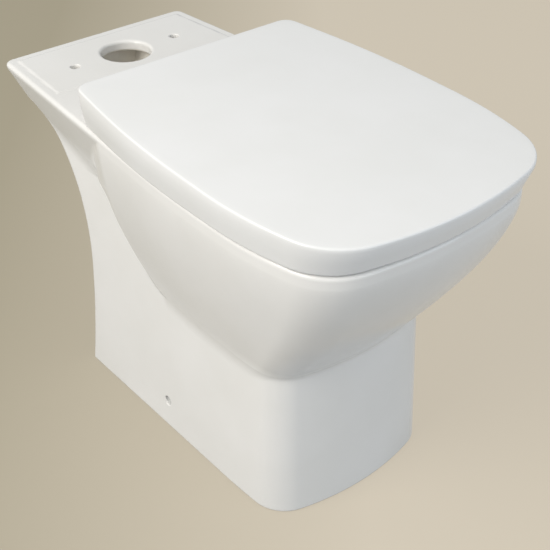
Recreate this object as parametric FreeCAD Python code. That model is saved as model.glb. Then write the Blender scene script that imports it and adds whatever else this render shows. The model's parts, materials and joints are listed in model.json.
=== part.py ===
import FreeCAD, Part
import math
import os

# A floor standing toilet pan with its seat, lid, hinges and floor fixings.
# Millimetres. +Z is up and the floor is Z = 0. The front of the pan points to -Y.
# The origin is on the floor, under the middle of the whole object.

Vector = FreeCAD.Vector
BIG = 2000.0                      # larger than the whole object, for half spaces

# Overall sizes
OVERALL_LENGTH = 655.0            # front of the lid to the rear of the deck
DECK_LENGTH = 199.5               # hinge axis to the rear of the deck
RIM_HEIGHT = 400.0                # floor to the top of the rim and deck
CERAMIC_WALL = 12.0               # fired wall thickness

# Rim and deck, in plan
RIM_HALF_WIDTH = 165.0
LID_OVERHANG = 13.5                # lid past the rim at the front
RIM_HIP_SETBACK = 152.0           # rim front to where the sides run straight
RIM_HIP_LENGTH = 30.0
RIM_FRONT_RADIUS = 512.0
RIM_CORNER_RADIUS = 66.0
RIM_SIDE_RADIUS = 385.0
RIM_FLANK_RADIUS = 1500.0
RIM_TAPER = 4.3                   # degrees, the sides close in towards the rear
DECK_CORNER_RADIUS = 12.0
INNER_CORNER_RADIUS = 2.0         # smallest corner left where an outline is drawn in
FLANK_SHARE = 0.9                 # most of a short side that its curve may take up

# Rim and deck, in height
PLATE_THICKNESS = 14.0            # top of the rim and deck
RIM_EDGE_RADIUS = 10.0
BAND_DEPTH = 90.0                 # side band of the rim and deck, under the plate
BAND_LEAN = 37.0                  # its lower edge is drawn in this far
BAND_TAPER = 7.0                  # degrees, its lower edge closes in towards the rear
DECK_DEPTH = 52.0                 # deck top to its underside, behind the pedestal

# Bowl opening and rim channel
OPENING_HALF_WIDTH = 119.0
RIM_WIDTH = 50.0                  # rim front to the opening
REAR_RIM_WIDTH = 40.0             # opening to the rear of the bowl
OPENING_FRONT_RADIUS = 190.0
OPENING_CORNER_RADIUS = 95.0
OPENING_SIDE_RADIUS = 380.0
OPENING_REAR_RADIUS = 80.0
CURTAIN_DEPTH = 34.0              # inner wall of the rim channel, under the plate
CURTAIN_WALL = 10.0

# Bowl
CREASE_HEIGHT = 200.0             # bowl meets the pedestal
CREASE_HALF_WIDTH = 116.0
CREASE_SETBACK = 109.0            # rim front to the front of the crease
BOWL_BULGE = 1.5                  # power of the curve from rim to crease
BOWL_REAR_GAP = 19.0              # rear of the bowl to the hinge axis
BOWL_REAR_SHOULDER = 300.0        # height where the back of the bowl starts to close in
BOWL_REAR_RUN = 87.0              # the back of the bowl comes forward this far down to the crease
BOWL_REAR_RADIUS = 80.0
SUMP_BASE = 46.0                  # height of the underside of the bowl
SUMP_NARROWING = 0.59             # share of its width that the bowl loses below the crease
SUMP_SHORTENING = 0.76            # and of its length
BOWL_REAR_CURVE = 1.5             # power of the curve at the back of the bowl
BOWL_SECTIONS = 10

# Pedestal
FOOT_HALF_WIDTH = 123.5
FOOT_SETBACK = 102.0              # rim front to the pedestal front, at the floor
FOOT_FRONT_RADIUS = 330.0
FOOT_CORNER_RADIUS = 46.0
FOOT_SIDE_RADIUS = 900.0
FOOT_HIP_SETBACK = 110.0
FOOT_DRAFT = 2.1                  # degrees, narrower upwards
FOOT_REAR_SETBACK = 130.0         # deck rear to the pedestal rear, at the floor
WAIST_STEP = 11.0                 # and further in where the rear edge stands upright
WAIST_HEIGHT = 150.0
SWOOP_SETBACK = 38.0              # deck rear to where the rear edge meets the underside of the deck
SWOOP_LOWER_PULL = 0.53           # shape of the rear edge between waist and deck
SWOOP_UPPER_PULL = 0.78
SWOOP_UPPER_LEAN = 0.45

# Trapway and outlet
OUTLET_OUTER_RADIUS = 51.0
OUTLET_WALL = 10.0
OUTLET_HEIGHT = 185.0
OUTLET_SETBACK = 24.5             # deck rear to the end of the spigot
TRAP_BEND_RADIUS = 58.0
TRAP_START_SHARE = 0.82           # its middle line starts part of the way along the sump
TRAP_DIP_RUN = 18.0               # lower corner, behind the back of the bowl at the crease
TRAP_DIP_HEIGHT = 100.0
TRAP_CREST_SHARE = 0.435          # upper corner, part of the way from the lower one to the outlet
TRAP_CREST_HEIGHT = 265.0
TRAP_DROP_SETBACK = 119.5         # deck rear to the corner where it turns level into the outlet

# Flush inlet and cistern fixing
INLET_SETBACK = 74.5              # deck rear to the middle of the inlet
INLET_RADIUS = 32.0
DUCT_HALF_WIDTH = 40.0
DUCT_WALL = 8.0
DUCT_HEIGHT = 30.0
CISTERN_BOLT_SPACING = 150.0
CISTERN_BOLT_RADIUS = 6.0
CISTERN_PAD_HEIGHT = 1.0          # flat seat for a cistern, above the deck
CISTERN_PAD_SETBACK = 127.5       # deck rear to the front edge of that seat
CISTERN_PAD_INSET = 13.0          # deck edge to the edge of that seat

# Lid
LID_HALF_WIDTH = 174.0
LID_HIP_SETBACK = 178.0
LID_HIP_LENGTH = 40.0
LID_FRONT_RADIUS = 440.0
LID_CORNER_RADIUS = 75.0
LID_SIDE_RADIUS = 450.0
LID_FLANK_RADIUS = 1200.0
LID_TAPER = 8.0
LID_REAR_RADIUS = 18.0
LID_GAP = 2.0                     # rim to the lower edge of the lid
LID_FRONT_RISE = 37.5             # rim to the top of the lid at its front
LID_REAR_RISE = 49.5
LID_FRONT_LEAN = 12.5             # the skirt leans in towards the rim at the front
LID_SIDE_LEAN = 6.0               # and at the sides
LID_WALL = 4.5
LID_EDGE_RADIUS = 4.0
LID_EDGE_DEPTH = 5.0              # the skirt stands upright this far under the top, at the front

# Seat ring
RING_SIDE_GAP = 3.0               # inside of the lid skirt to the ring
RING_LIFT = 6.5                   # rim to the underside of the ring
RING_THICKNESS = 18.0
RING_REAR_SETBACK = 32.0          # rear of the lid to the rear of the ring
RING_REAR_RADIUS = 30.0
RING_EDGE_RADIUS = 5.0
RING_HOLE_HALF_WIDTH = 108.0
RING_REAR_WIDTH = 35.5            # hole to the rear of the ring
RING_HOLE_HIP_SETBACK = 100.0
RING_WIDTH = 72.0                 # front of the ring to its hole
RING_HOLE_FRONT_RADIUS = 150.0
RING_HOLE_CORNER_RADIUS = 85.0
RING_HOLE_SIDE_RADIUS = 330.0
RING_HOLE_REAR_RADIUS = 75.0

# Rubber buffers
BUFFER_RADIUS = 8.0
BUFFER_GAP = 0.3                  # pads rest this far off, pieces that move stay apart
BUFFER_FRONT_X = 95.0
BUFFER_FRONT_INSET = 38.0         # ring front to the front pads
BUFFER_SIDE_INSET = 34.0          # side of the lid to the side pads
BUFFER_SIDE_SETBACK = 137.0       # rear of the lid to the side pads

# Hinges
HINGE_SPACING = 155.0
HINGE_SETBACK = 11.0              # rear of the lid to the hinge axis
HINGE_HEIGHT = 30.5               # deck to the hinge axis
HINGE_PIN_RADIUS = 4.0
RUNNING_CLEARANCE = 0.06
SEAT_CLEARANCE = 0.1
BARREL_RADIUS = 8.0
BARREL_LENGTH = 24.0
KNUCKLE_RADIUS = 9.0
SLEEVE_RADIUS = 6.5               # outside of bushes and dampers
KNUCKLE_GAP = 0.4
LID_KNUCKLE_LENGTH = 40.0
RING_KNUCKLE_LENGTH = 26.0
POST_RADIUS = 7.0
ROSETTE_RADIUS = 21.0
ROSETTE_THICKNESS = 4.0
ROSETTE_EDGE_RADIUS = 1.5
GASKET_THICKNESS = 1.2
STUD_RADIUS = 4.0
STUD_ENGAGEMENT = 8.0             # stud inside the post
STUD_TAIL = 8.0                   # stud below the wing nut
DECK_HOLE_RADIUS = 7.5
BUSH_FLANGE_RADIUS = 14.0
BUSH_FLANGE_THICKNESS = 3.0
WASHER_RADIUS = 13.0
WASHER_THICKNESS = 2.0
NUT_HUB_RADIUS = 8.5
NUT_HEIGHT = 12.0
WING_REACH = 17.0
WING_THICKNESS = 4.0
ARM_THICKNESS = 12.0              # arms that carry the knuckles
SLEEVE_KEY = 2.0                  # rib that locks a damper in its knuckle
LID_CUT_HALF_WIDTH = 120.0        # gap in the rear skirt of the lid for the hinges
LID_CUT_MARGIN = 1.0              # hinge axis to the upper edge of that gap

# Floor fixings
SIDE_HOLE_SETBACK = 180.0         # rear of the pedestal to the fixing holes
SIDE_HOLE_HEIGHT = 40.0
SIDE_HOLE_RADIUS = 6.0
BRACKET_LENGTH = 66.0
BRACKET_HEIGHT = 60.0
BRACKET_FOOT = 45.0
BRACKET_PLATE = 4.0
BRACKET_HOLE_RADIUS = 3.5
BRACKET_HOLE_SPACING = 40.0
BRACKET_HOLE_REACH = 28.0         # upright plate to the floor holes
SCREW_RADIUS = 3.0
SCREW_HEAD_RADIUS = 5.2
SCREW_HEAD_HEIGHT = 3.5
SCREW_TAIL = 5.0                  # screw past its nut
BRACKET_NUT_WIDTH = 10.0          # across flats
BRACKET_NUT_HEIGHT = 5.0
CAP_THICKNESS = 2.0
CAP_RECESS = 2.5

# Places that follow from the sizes above
LID_FRONT_Y = -OVERALL_LENGTH / 2
DECK_REAR_Y = OVERALL_LENGTH / 2
HINGE_Y = DECK_REAR_Y - DECK_LENGTH
LID_REAR_Y = HINGE_Y - HINGE_SETBACK
LID_LENGTH = LID_REAR_Y - LID_FRONT_Y
RIM_FRONT_Y = LID_FRONT_Y + LID_OVERHANG
PLATE_UNDERSIDE = RIM_HEIGHT - PLATE_THICKNESS
BAND_BOTTOM = PLATE_UNDERSIDE - BAND_DEPTH
DECK_UNDERSIDE = RIM_HEIGHT - DECK_DEPTH
BOWL_REAR_Y = HINGE_Y - BOWL_REAR_GAP
BOWL_REAR_CREASE_Y = BOWL_REAR_Y - BOWL_REAR_RUN
CREASE_FRONT_Y = RIM_FRONT_Y + CREASE_SETBACK
OPENING_FRONT_Y = RIM_FRONT_Y + RIM_WIDTH
OPENING_REAR_Y = BOWL_REAR_Y - REAR_RIM_WIDTH
FOOT_FRONT_Y = RIM_FRONT_Y + FOOT_SETBACK
FOOT_REAR_Y = DECK_REAR_Y - FOOT_REAR_SETBACK
WAIST_REAR_Y = FOOT_REAR_Y - WAIST_STEP
SWOOP_END_Y = DECK_REAR_Y - SWOOP_SETBACK
SIDE_HOLE_Y = FOOT_REAR_Y - SIDE_HOLE_SETBACK
OUTLET_END_Y = DECK_REAR_Y - OUTLET_SETBACK
TRAP_START_Y = CREASE_FRONT_Y + (BOWL_REAR_CREASE_Y - CREASE_FRONT_Y) * TRAP_START_SHARE
TRAP_DIP_Y = BOWL_REAR_CREASE_Y + TRAP_DIP_RUN
TRAP_DROP_Y = DECK_REAR_Y - TRAP_DROP_SETBACK
TRAP_CREST_Y = TRAP_DIP_Y + (TRAP_DROP_Y - TRAP_DIP_Y) * TRAP_CREST_SHARE
INLET_Y = DECK_REAR_Y - INLET_SETBACK
CISTERN_PAD_Y = DECK_REAR_Y - CISTERN_PAD_SETBACK
CISTERN_PAD_TOP = RIM_HEIGHT + CISTERN_PAD_HEIGHT
DUCT_FLOOR = PLATE_UNDERSIDE - DUCT_HEIGHT
LID_BOTTOM = RIM_HEIGHT + LID_GAP
RING_REAR_Y = LID_REAR_Y - RING_REAR_SETBACK
RING_BOTTOM = RIM_HEIGHT + RING_LIFT
RING_TOP = RING_BOTTOM + RING_THICKNESS
BUFFER_SIDE_X = LID_HALF_WIDTH - BUFFER_SIDE_INSET
BUFFER_SIDE_Y = LID_REAR_Y - BUFFER_SIDE_SETBACK
HINGE_X = HINGE_SPACING / 2
HINGE_Z = RIM_HEIGHT + HINGE_HEIGHT
BARREL_INNER_X = HINGE_X - BARREL_LENGTH / 2
BARREL_OUTER_X = HINGE_X + BARREL_LENGTH / 2
LID_KNUCKLE_END_X = BARREL_INNER_X - KNUCKLE_GAP
LID_KNUCKLE_START_X = LID_KNUCKLE_END_X - LID_KNUCKLE_LENGTH
RING_KNUCKLE_START_X = BARREL_OUTER_X + KNUCKLE_GAP
RING_KNUCKLE_END_X = RING_KNUCKLE_START_X + RING_KNUCKLE_LENGTH
GASKET_TOP = RIM_HEIGHT + GASKET_THICKNESS
ROSETTE_TOP = GASKET_TOP + ROSETTE_THICKNESS
BUSH_BOTTOM = PLATE_UNDERSIDE - BUSH_FLANGE_THICKNESS
WASHER_BOTTOM = BUSH_BOTTOM - WASHER_THICKNESS
NUT_BOTTOM = WASHER_BOTTOM - NUT_HEIGHT


class Plan:
    """A plan outline, the same on both sides of X = 0, of arcs and lines that run smoothly on."""

    def __init__(self, half_width, front_y, rear_y, hip_front_y, hip_rear_y,
                 front_radius, corner_radius, side_radius, rear_radius,
                 flank_radius=0.0, taper=0.0):
        self.half_width = half_width
        self.front_y = front_y
        self.rear_y = rear_y
        self.hip_front_y = hip_front_y
        self.hip_rear_y = hip_rear_y
        self.front_radius = front_radius
        self.corner_radius = corner_radius
        self.side_radius = side_radius
        self.rear_radius = rear_radius
        self.flank_radius = flank_radius
        self.taper = taper

    def inset(self, by):
        """The parallel outline drawn in by a distance, or out by a negative one."""
        return Plan(
            self.half_width - by,
            self.front_y + by,
            self.rear_y - by,
            self.hip_front_y,
            self.hip_rear_y,
            self.front_radius - by,
            self.corner_radius - by,
            self.side_radius - by,
            max(self.rear_radius - by, INNER_CORNER_RADIUS),
            self.flank_radius - by,
            self.taper,
        )

    def reach(self, front_y=None, rear_y=None):
        """The same outline with its front or rear end moved."""
        copy = self.inset(0.0)
        copy.front_y = self.front_y if front_y is None else front_y
        copy.rear_y = self.rear_y if rear_y is None else rear_y
        return copy

    def flank_turn(self):
        """The angle that the flank turns through: its taper, or less where the flank is short."""
        if self.taper == 0:
            return 0.0
        room = self.rear_y - self.rear_radius - self.hip_rear_y
        return min(math.radians(self.taper), math.asin(FLANK_SHARE * room / self.flank_radius))

    def wire(self, z):
        """The closed outline at height z."""
        front_centre = Vector(0, self.front_y + self.front_radius, 0)
        side_centre = Vector(self.half_width - self.side_radius, self.hip_front_y, 0)
        corner_centre = meeting_point(
            front_centre, self.front_radius - self.corner_radius,
            side_centre, self.side_radius - self.corner_radius,
        )
        front_end = along(front_centre, corner_centre, self.front_radius)
        corner_end = along(side_centre, corner_centre, self.side_radius)
        hip_front = Vector(self.half_width, self.hip_front_y, 0)
        hip_rear = Vector(self.half_width, self.hip_rear_y, 0)

        turn = self.flank_turn()
        outward = Vector(math.cos(turn), math.sin(turn), 0)
        rearward = Vector(-math.sin(turn), math.cos(turn), 0)
        flank_centre = Vector(self.half_width - self.flank_radius, self.hip_rear_y, 0)
        flank_end = flank_centre + outward * self.flank_radius
        run = self.rear_y - self.rear_radius * (1 - math.sin(turn)) - flank_end.y
        taper_end = flank_end + rearward * (run / math.cos(turn))
        rear_centre = taper_end - outward * self.rear_radius
        rear_end = Vector(rear_centre.x, self.rear_y, 0)

        half = [
            arc(corner_centre, self.corner_radius, front_end, corner_end),
            arc(side_centre, self.side_radius, corner_end, hip_front),
        ]
        if self.taper > 0:
            half.append(line(hip_front, hip_rear))
            half.append(arc(flank_centre, self.flank_radius, hip_rear, flank_end))
            half.append(line(flank_end, taper_end))
        else:
            half.append(line(hip_front, taper_end))
        half.append(arc(rear_centre, self.rear_radius, taper_end, rear_end))

        front = Part.Arc(flipped(front_end), Vector(0, self.front_y, 0), front_end).toShape()
        rear = line(rear_end, flipped(rear_end))
        other_half = [mirrored(edge) for edge in reversed(half)]
        edges = Part.__sortEdges__([front] + half + [rear] + other_half)
        outline = Part.Wire(edges)
        outline.translate(Vector(0, 0, z))
        return outline


def flipped(point):
    """The point on the other side of X = 0."""
    return Vector(-point.x, point.y, point.z)


def mirrored(shape):
    """The shape on the other side of X = 0."""
    return shape.mirror(Vector(0, 0, 0), Vector(1, 0, 0))


def along(start, through, distance):
    """The point at a distance from start, on the ray through another point."""
    return start + (through - start).normalize() * distance


def meeting_point(first, first_distance, second, second_distance):
    """The point at given distances from two centres, on the outer front side of the line between them."""
    span = second - first
    length = span.Length
    forward = (first_distance ** 2 - second_distance ** 2 + length ** 2) / (2 * length)
    sideways = math.sqrt(first_distance ** 2 - forward ** 2)
    axis = span.normalize()
    across = Vector(-axis.y, axis.x, 0)
    return first + axis * forward + across * sideways


def line(start, end):
    """A straight edge."""
    return Part.LineSegment(start, end).toShape()


def arc(centre, radius, start, end):
    """The short arc about a centre between two of its points."""
    middle = (start + end) * 0.5
    return Part.Arc(start, along(centre, middle, radius), end).toShape()


def box(x0, x1, y0, y1, z0, z1):
    """A block between two corners."""
    return Part.makeBox(x1 - x0, y1 - y0, z1 - z0, Vector(x0, y0, z0))


def upright(x, y, z0, z1, radius):
    """A cylinder along Z."""
    return Part.makeCylinder(radius, z1 - z0, Vector(x, y, z0))


def crosswise(x0, x1, y, z, radius):
    """A cylinder along X."""
    return Part.makeCylinder(radius, x1 - x0, Vector(x0, y, z), Vector(1, 0, 0))


def prism(plan, z0, z1):
    """A plan outline raised straight up."""
    return Part.Face(plan.wire(z0)).extrude(Vector(0, 0, z1 - z0))


def both_sides(shape):
    """The shape and its mirror image, as one group."""
    return Part.makeCompound([shape, mirrored(shape)])


def edges_at(shape, z):
    """The edges that lie flat at height z."""
    flat = []
    for edge in shape.Edges:
        bounds = edge.BoundBox
        if abs(bounds.ZMin - z) < 1e-4 and abs(bounds.ZMax - z) < 1e-4:
            flat.append(edge)
    return flat


RIM = Plan(
    RIM_HALF_WIDTH, RIM_FRONT_Y, DECK_REAR_Y,
    RIM_FRONT_Y + RIM_HIP_SETBACK, RIM_FRONT_Y + RIM_HIP_SETBACK + RIM_HIP_LENGTH,
    RIM_FRONT_RADIUS, RIM_CORNER_RADIUS, RIM_SIDE_RADIUS, DECK_CORNER_RADIUS,
    RIM_FLANK_RADIUS, RIM_TAPER,
)
OPENING = Plan(
    OPENING_HALF_WIDTH, OPENING_FRONT_Y, OPENING_REAR_Y,
    RIM_FRONT_Y + RIM_HIP_SETBACK, RIM_FRONT_Y + RIM_HIP_SETBACK + RIM_HIP_LENGTH,
    OPENING_FRONT_RADIUS, OPENING_CORNER_RADIUS, OPENING_SIDE_RADIUS, OPENING_REAR_RADIUS,
)
FOOT = Plan(
    FOOT_HALF_WIDTH, FOOT_FRONT_Y, SWOOP_END_Y,
    FOOT_FRONT_Y + FOOT_HIP_SETBACK, FOOT_FRONT_Y + FOOT_HIP_SETBACK,
    FOOT_FRONT_RADIUS, FOOT_CORNER_RADIUS, FOOT_SIDE_RADIUS, INNER_CORNER_RADIUS,
)
RING_FRONT_Y = LID_FRONT_Y + LID_FRONT_LEAN + LID_WALL + RING_SIDE_GAP
RING_HOLE_FRONT_Y = RING_FRONT_Y + RING_WIDTH
RING_HOLE = Plan(
    RING_HOLE_HALF_WIDTH, RING_HOLE_FRONT_Y, RING_REAR_Y - RING_REAR_WIDTH,
    RING_HOLE_FRONT_Y + RING_HOLE_HIP_SETBACK, RING_HOLE_FRONT_Y + RING_HOLE_HIP_SETBACK,
    RING_HOLE_FRONT_RADIUS, RING_HOLE_CORNER_RADIUS, RING_HOLE_SIDE_RADIUS, RING_HOLE_REAR_RADIUS,
)
LID = Plan(
    LID_HALF_WIDTH, LID_FRONT_Y, LID_REAR_Y,
    LID_FRONT_Y + LID_HIP_SETBACK, LID_FRONT_Y + LID_HIP_SETBACK + LID_HIP_LENGTH,
    LID_FRONT_RADIUS, LID_CORNER_RADIUS, LID_SIDE_RADIUS, LID_REAR_RADIUS,
    LID_FLANK_RADIUS, LID_TAPER,
)
LID_LOWER = LID.inset(LID_SIDE_LEAN).reach(front_y=LID_FRONT_Y + LID_FRONT_LEAN, rear_y=LID_REAR_Y)


def loft(wires, ruled=True):
    """A closed solid through outlines, straight or smooth between them."""
    return Part.makeLoft(wires, True, ruled)


def side_prism(edges, half_width=BIG):
    """A closed outline in the YZ plane, spread along X to both sides."""
    face = Part.Face(Part.Wire(edges))
    face.translate(Vector(-half_width, 0, 0))
    return face.extrude(Vector(2 * half_width, 0, 0))


def tube(path, radius):
    """A round rod along a path in the YZ plane that starts along Y."""
    start = path.Edges[0].firstVertex().Point
    section = Part.Wire(Part.makeCircle(radius, start, Vector(0, 1, 0)))
    return path.makePipeShell([section], True, False)


def bent_path(points, radius):
    """Straight runs in the YZ plane, joined by arcs of one radius."""
    corners = [Vector(0, y, z) for y, z in points]
    edges = []
    start = corners[0]
    for before, corner, after in zip(corners, corners[1:], corners[2:]):
        arriving = (corner - before).normalize()
        leaving = (after - corner).normalize()
        turn = arriving.getAngle(leaving)
        reach = radius * math.tan(turn / 2)
        arc_start = corner - arriving * reach
        arc_end = corner + leaving * reach
        inward = (leaving - arriving).normalize()
        centre = corner + inward * (radius / math.cos(turn / 2))
        edges.append(line(start, arc_start))
        edges.append(arc(centre, radius, arc_start, arc_end))
        start = arc_end
    edges.append(line(start, corners[-1]))
    return Part.Wire(edges)


def side_profile():
    """The whole pan seen from the side: open under the deck, behind the pedestal."""
    far_front = LID_FRONT_Y - BIG
    step = FOOT_REAR_Y - WAIST_REAR_Y
    sweep = (step ** 2 + WAIST_HEIGHT ** 2) / (2 * step)
    rise = DECK_UNDERSIDE - WAIST_HEIGHT
    run = SWOOP_END_Y - WAIST_REAR_Y
    foot_front = Vector(0, far_front, 0)
    foot_rear = Vector(0, FOOT_REAR_Y, 0)
    waist = Vector(0, WAIST_REAR_Y, WAIST_HEIGHT)
    deck_corner = Vector(0, SWOOP_END_Y, DECK_UNDERSIDE)
    swoop = Part.BezierCurve()
    swoop.setPoles([
        waist,
        waist + Vector(0, 0, SWOOP_LOWER_PULL * rise),
        waist + Vector(0, SWOOP_UPPER_LEAN * run, SWOOP_UPPER_PULL * rise),
        deck_corner,
    ])
    far_rear = DECK_REAR_Y + BIG
    return side_prism([
        line(foot_front, foot_rear),
        arc(waist + Vector(0, sweep, 0), sweep, foot_rear, waist),
        swoop.toShape(),
        line(deck_corner, Vector(0, far_rear, DECK_UNDERSIDE)),
        line(Vector(0, far_rear, DECK_UNDERSIDE), Vector(0, far_rear, RIM_HEIGHT)),
        line(Vector(0, far_rear, RIM_HEIGHT), Vector(0, far_front, RIM_HEIGHT)),
        line(Vector(0, far_front, RIM_HEIGHT), foot_front),
    ])


def between(start, end, share):
    """A value part of the way from start to end."""
    return start + (end - start) * share


def bowl_plan(z):
    """The outside of the bowl at a height: full at the rim, closing in to the crease and the sump."""
    depth = (PLATE_UNDERSIDE - z) / (PLATE_UNDERSIDE - CREASE_HEIGHT)
    share = min(depth, 1.0) ** BOWL_BULGE
    sink = max(CREASE_HEIGHT - z, 0.0) / (CREASE_HEIGHT - SUMP_BASE)
    narrowing = 1 - SUMP_NARROWING * sink
    half_width = between(RIM_HALF_WIDTH, CREASE_HALF_WIDTH, share) * narrowing
    front_y = between(RIM_FRONT_Y, CREASE_FRONT_Y, share)
    front_y = between(front_y, BOWL_REAR_CREASE_Y, SUMP_SHORTENING * sink)
    fall = (BOWL_REAR_SHOULDER - z) / (BOWL_REAR_SHOULDER - CREASE_HEIGHT)
    fall = min(max(fall, 0.0), 1.0) ** BOWL_REAR_CURVE
    rear_y = between(BOWL_REAR_Y, BOWL_REAR_CREASE_Y, fall)
    length = rear_y - front_y
    rim_length = BOWL_REAR_Y - RIM_FRONT_Y
    crease_length = BOWL_REAR_CREASE_Y - CREASE_FRONT_Y
    hip_share = between(RIM_HIP_SETBACK / rim_length, FOOT_HIP_SETBACK / crease_length, share)
    hip_front_y = front_y + hip_share * length
    return Plan(
        half_width, front_y, rear_y,
        hip_front_y, hip_front_y + RIM_HIP_LENGTH * length / rim_length,
        between(RIM_FRONT_RADIUS, FOOT_FRONT_RADIUS, share) * narrowing,
        between(RIM_CORNER_RADIUS, FOOT_CORNER_RADIUS, share) * narrowing,
        between(RIM_SIDE_RADIUS, FOOT_SIDE_RADIUS, share) * narrowing,
        BOWL_REAR_RADIUS * length / rim_length,
        RIM_FLANK_RADIUS, RIM_TAPER,
    )


def bowl_form(wall):
    """The bowl as a full solid, drawn in by a wall thickness."""
    base = SUMP_BASE + wall
    step = (PLATE_UNDERSIDE - base) / (BOWL_SECTIONS - 1)
    heights = [base + step * i for i in range(BOWL_SECTIONS)]
    return loft([bowl_plan(z).inset(wall).wire(z) for z in heights], ruled=False)


def band_form(wall):
    """The side band of rim and deck as a full solid, drawn in by a wall thickness."""
    lower = RIM.inset(wall + BAND_LEAN)
    lower.taper = BAND_TAPER
    return loft([RIM.inset(wall).wire(PLATE_UNDERSIDE), lower.wire(BAND_BOTTOM)])


def foot_form(wall, rear_y):
    """The pedestal as a full solid up to the plate, drawn in by a wall thickness but for its rear."""
    draft = PLATE_UNDERSIDE * math.tan(math.radians(FOOT_DRAFT))
    return loft([
        FOOT.inset(wall).reach(rear_y=rear_y).wire(0),
        FOOT.inset(wall + draft).reach(rear_y=rear_y).wire(PLATE_UNDERSIDE),
    ])


def trap_form(radius):
    """The trapway as a round rod: level out of the sump, over the crest and level into the outlet."""
    path = bent_path([
        (TRAP_START_Y, TRAP_DIP_HEIGHT),
        (TRAP_DIP_Y, TRAP_DIP_HEIGHT),
        (TRAP_CREST_Y, TRAP_CREST_HEIGHT),
        (TRAP_DROP_Y, OUTLET_HEIGHT),
        (OUTLET_END_Y, OUTLET_HEIGHT),
    ], TRAP_BEND_RADIUS)
    return tube(path, radius)


def duct_form(wall):
    """The flush duct under the deck, from the inlet forward into the bowl."""
    return box(
        -DUCT_HALF_WIDTH - wall, DUCT_HALF_WIDTH + wall,
        OPENING.rear_y + CURTAIN_WALL, INLET_Y + DUCT_HALF_WIDTH + wall,
        DUCT_FLOOR - wall, PLATE_UNDERSIDE,
    )


def export(name, shape):
    """Write one named piece."""
    shape.exportStep(os.path.join("parts", name + ".step"))
    print(name, len(shape.Solids), round(shape.Volume), shape.isValid())


os.makedirs("parts", exist_ok=True)

BOWL_OUTSIDE = bowl_form(0.0)
PROFILE = side_profile()
TRAP_BORE = trap_form(OUTLET_OUTER_RADIUS - OUTLET_WALL)


def pan_rim():
    """The rim and deck: a top plate with its holes, the cistern seat, the side band and the flush duct."""
    plate = prism(RIM, PLATE_UNDERSIDE, RIM_HEIGHT)
    plate = plate.makeFillet(RIM_EDGE_RADIUS, edges_at(plate, RIM_HEIGHT))
    behind_hips = box(-BIG, BIG, RIM.hip_rear_y, BIG, 0, RIM_HEIGHT)
    band = band_form(0.0).cut(band_form(CERAMIC_WALL)).common(PROFILE).common(behind_hips)
    duct = duct_form(DUCT_WALL).cut(duct_form(0.0))
    underneath = band.fuse(duct).cut(BOWL_OUTSIDE)
    curtain_bottom = PLATE_UNDERSIDE - CURTAIN_DEPTH
    curtain = prism(OPENING.inset(-CURTAIN_WALL), curtain_bottom, PLATE_UNDERSIDE)
    deck_rear = box(-BIG, BIG, CISTERN_PAD_Y, BIG, RIM_HEIGHT, CISTERN_PAD_TOP)
    pad = prism(RIM.inset(CISTERN_PAD_INSET), RIM_HEIGHT, CISTERN_PAD_TOP).common(deck_rear)
    holes = [prism(OPENING, curtain_bottom, RIM_HEIGHT)]
    holes.append(upright(0, INLET_Y, PLATE_UNDERSIDE, CISTERN_PAD_TOP, INLET_RADIUS))
    for side in (-1, 1):
        bolt_x = side * CISTERN_BOLT_SPACING / 2
        hinge_x = side * HINGE_X
        holes.append(upright(bolt_x, INLET_Y, PLATE_UNDERSIDE, CISTERN_PAD_TOP, CISTERN_BOLT_RADIUS))
        holes.append(upright(hinge_x, HINGE_Y, PLATE_UNDERSIDE, RIM_HEIGHT, DECK_HOLE_RADIUS))
    return plate.multiFuse([underneath, curtain, pad]).removeSplitter().cut(holes)


def pan_bowl():
    """The basin: open to the rim, the flush duct and the trapway."""
    return BOWL_OUTSIDE.cut([bowl_form(CERAMIC_WALL), duct_form(0.0), TRAP_BORE])


def pan_foot():
    """The pedestal skirt: open underneath and at the back, with a fixing hole low on each side."""
    outside = foot_form(0.0, SWOOP_END_Y).common(PROFILE)
    shell = outside.cut(foot_form(CERAMIC_WALL, SWOOP_END_Y + CERAMIC_WALL))
    across = crosswise(-FOOT_HALF_WIDTH, FOOT_HALF_WIDTH, SIDE_HOLE_Y, SIDE_HOLE_HEIGHT, SIDE_HOLE_RADIUS)
    return shell.cut([band_form(0.0), BOWL_OUTSIDE, across])


def pan_trap():
    """The trapway and its outlet spigot."""
    return trap_form(OUTLET_OUTER_RADIUS).cut([TRAP_BORE, BOWL_OUTSIDE])


def lid_slope(y):
    """Height of the top of the lid at a place along it."""
    rise = LID_FRONT_RISE + (LID_REAR_RISE - LID_FRONT_RISE) * (y - LID_FRONT_Y) / LID_LENGTH
    return RIM_HEIGHT + rise


def above_lid(depth):
    """Everything above the sloping top of the lid, lowered by a depth."""
    front = LID_FRONT_Y - LID_LENGTH
    rear = LID_REAR_Y + LID_LENGTH
    corners = [
        Vector(0, front, lid_slope(front) - depth),
        Vector(0, rear, lid_slope(rear) - depth),
        Vector(0, rear, RIM_HEIGHT + BIG),
        Vector(0, front, RIM_HEIGHT + BIG),
    ]
    return side_prism([line(a, b) for a, b in zip(corners, corners[1:] + corners[:1])])


def lid_form(wall):
    """The lid as a full solid under its sloping top, drawn in by a wall thickness."""
    edge = LID.inset(wall)
    return loft([
        LID_LOWER.inset(wall).wire(LID_BOTTOM),
        edge.wire(RIM_HEIGHT + LID_FRONT_RISE - LID_EDGE_DEPTH),
        edge.wire(RIM_HEIGHT + LID_REAR_RISE),
    ]).cut(above_lid(wall))


def knuckle(start_x, end_x, arm):
    """A hinge knuckle on its arm, bored for a sleeve. The bore is cut after the arm is joined."""
    barrel = crosswise(start_x, end_x, HINGE_Y, HINGE_Z, KNUCKLE_RADIUS)
    return barrel.fuse(arm).cut(crosswise(start_x, end_x, HINGE_Y, HINGE_Z, SLEEVE_RADIUS))


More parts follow.
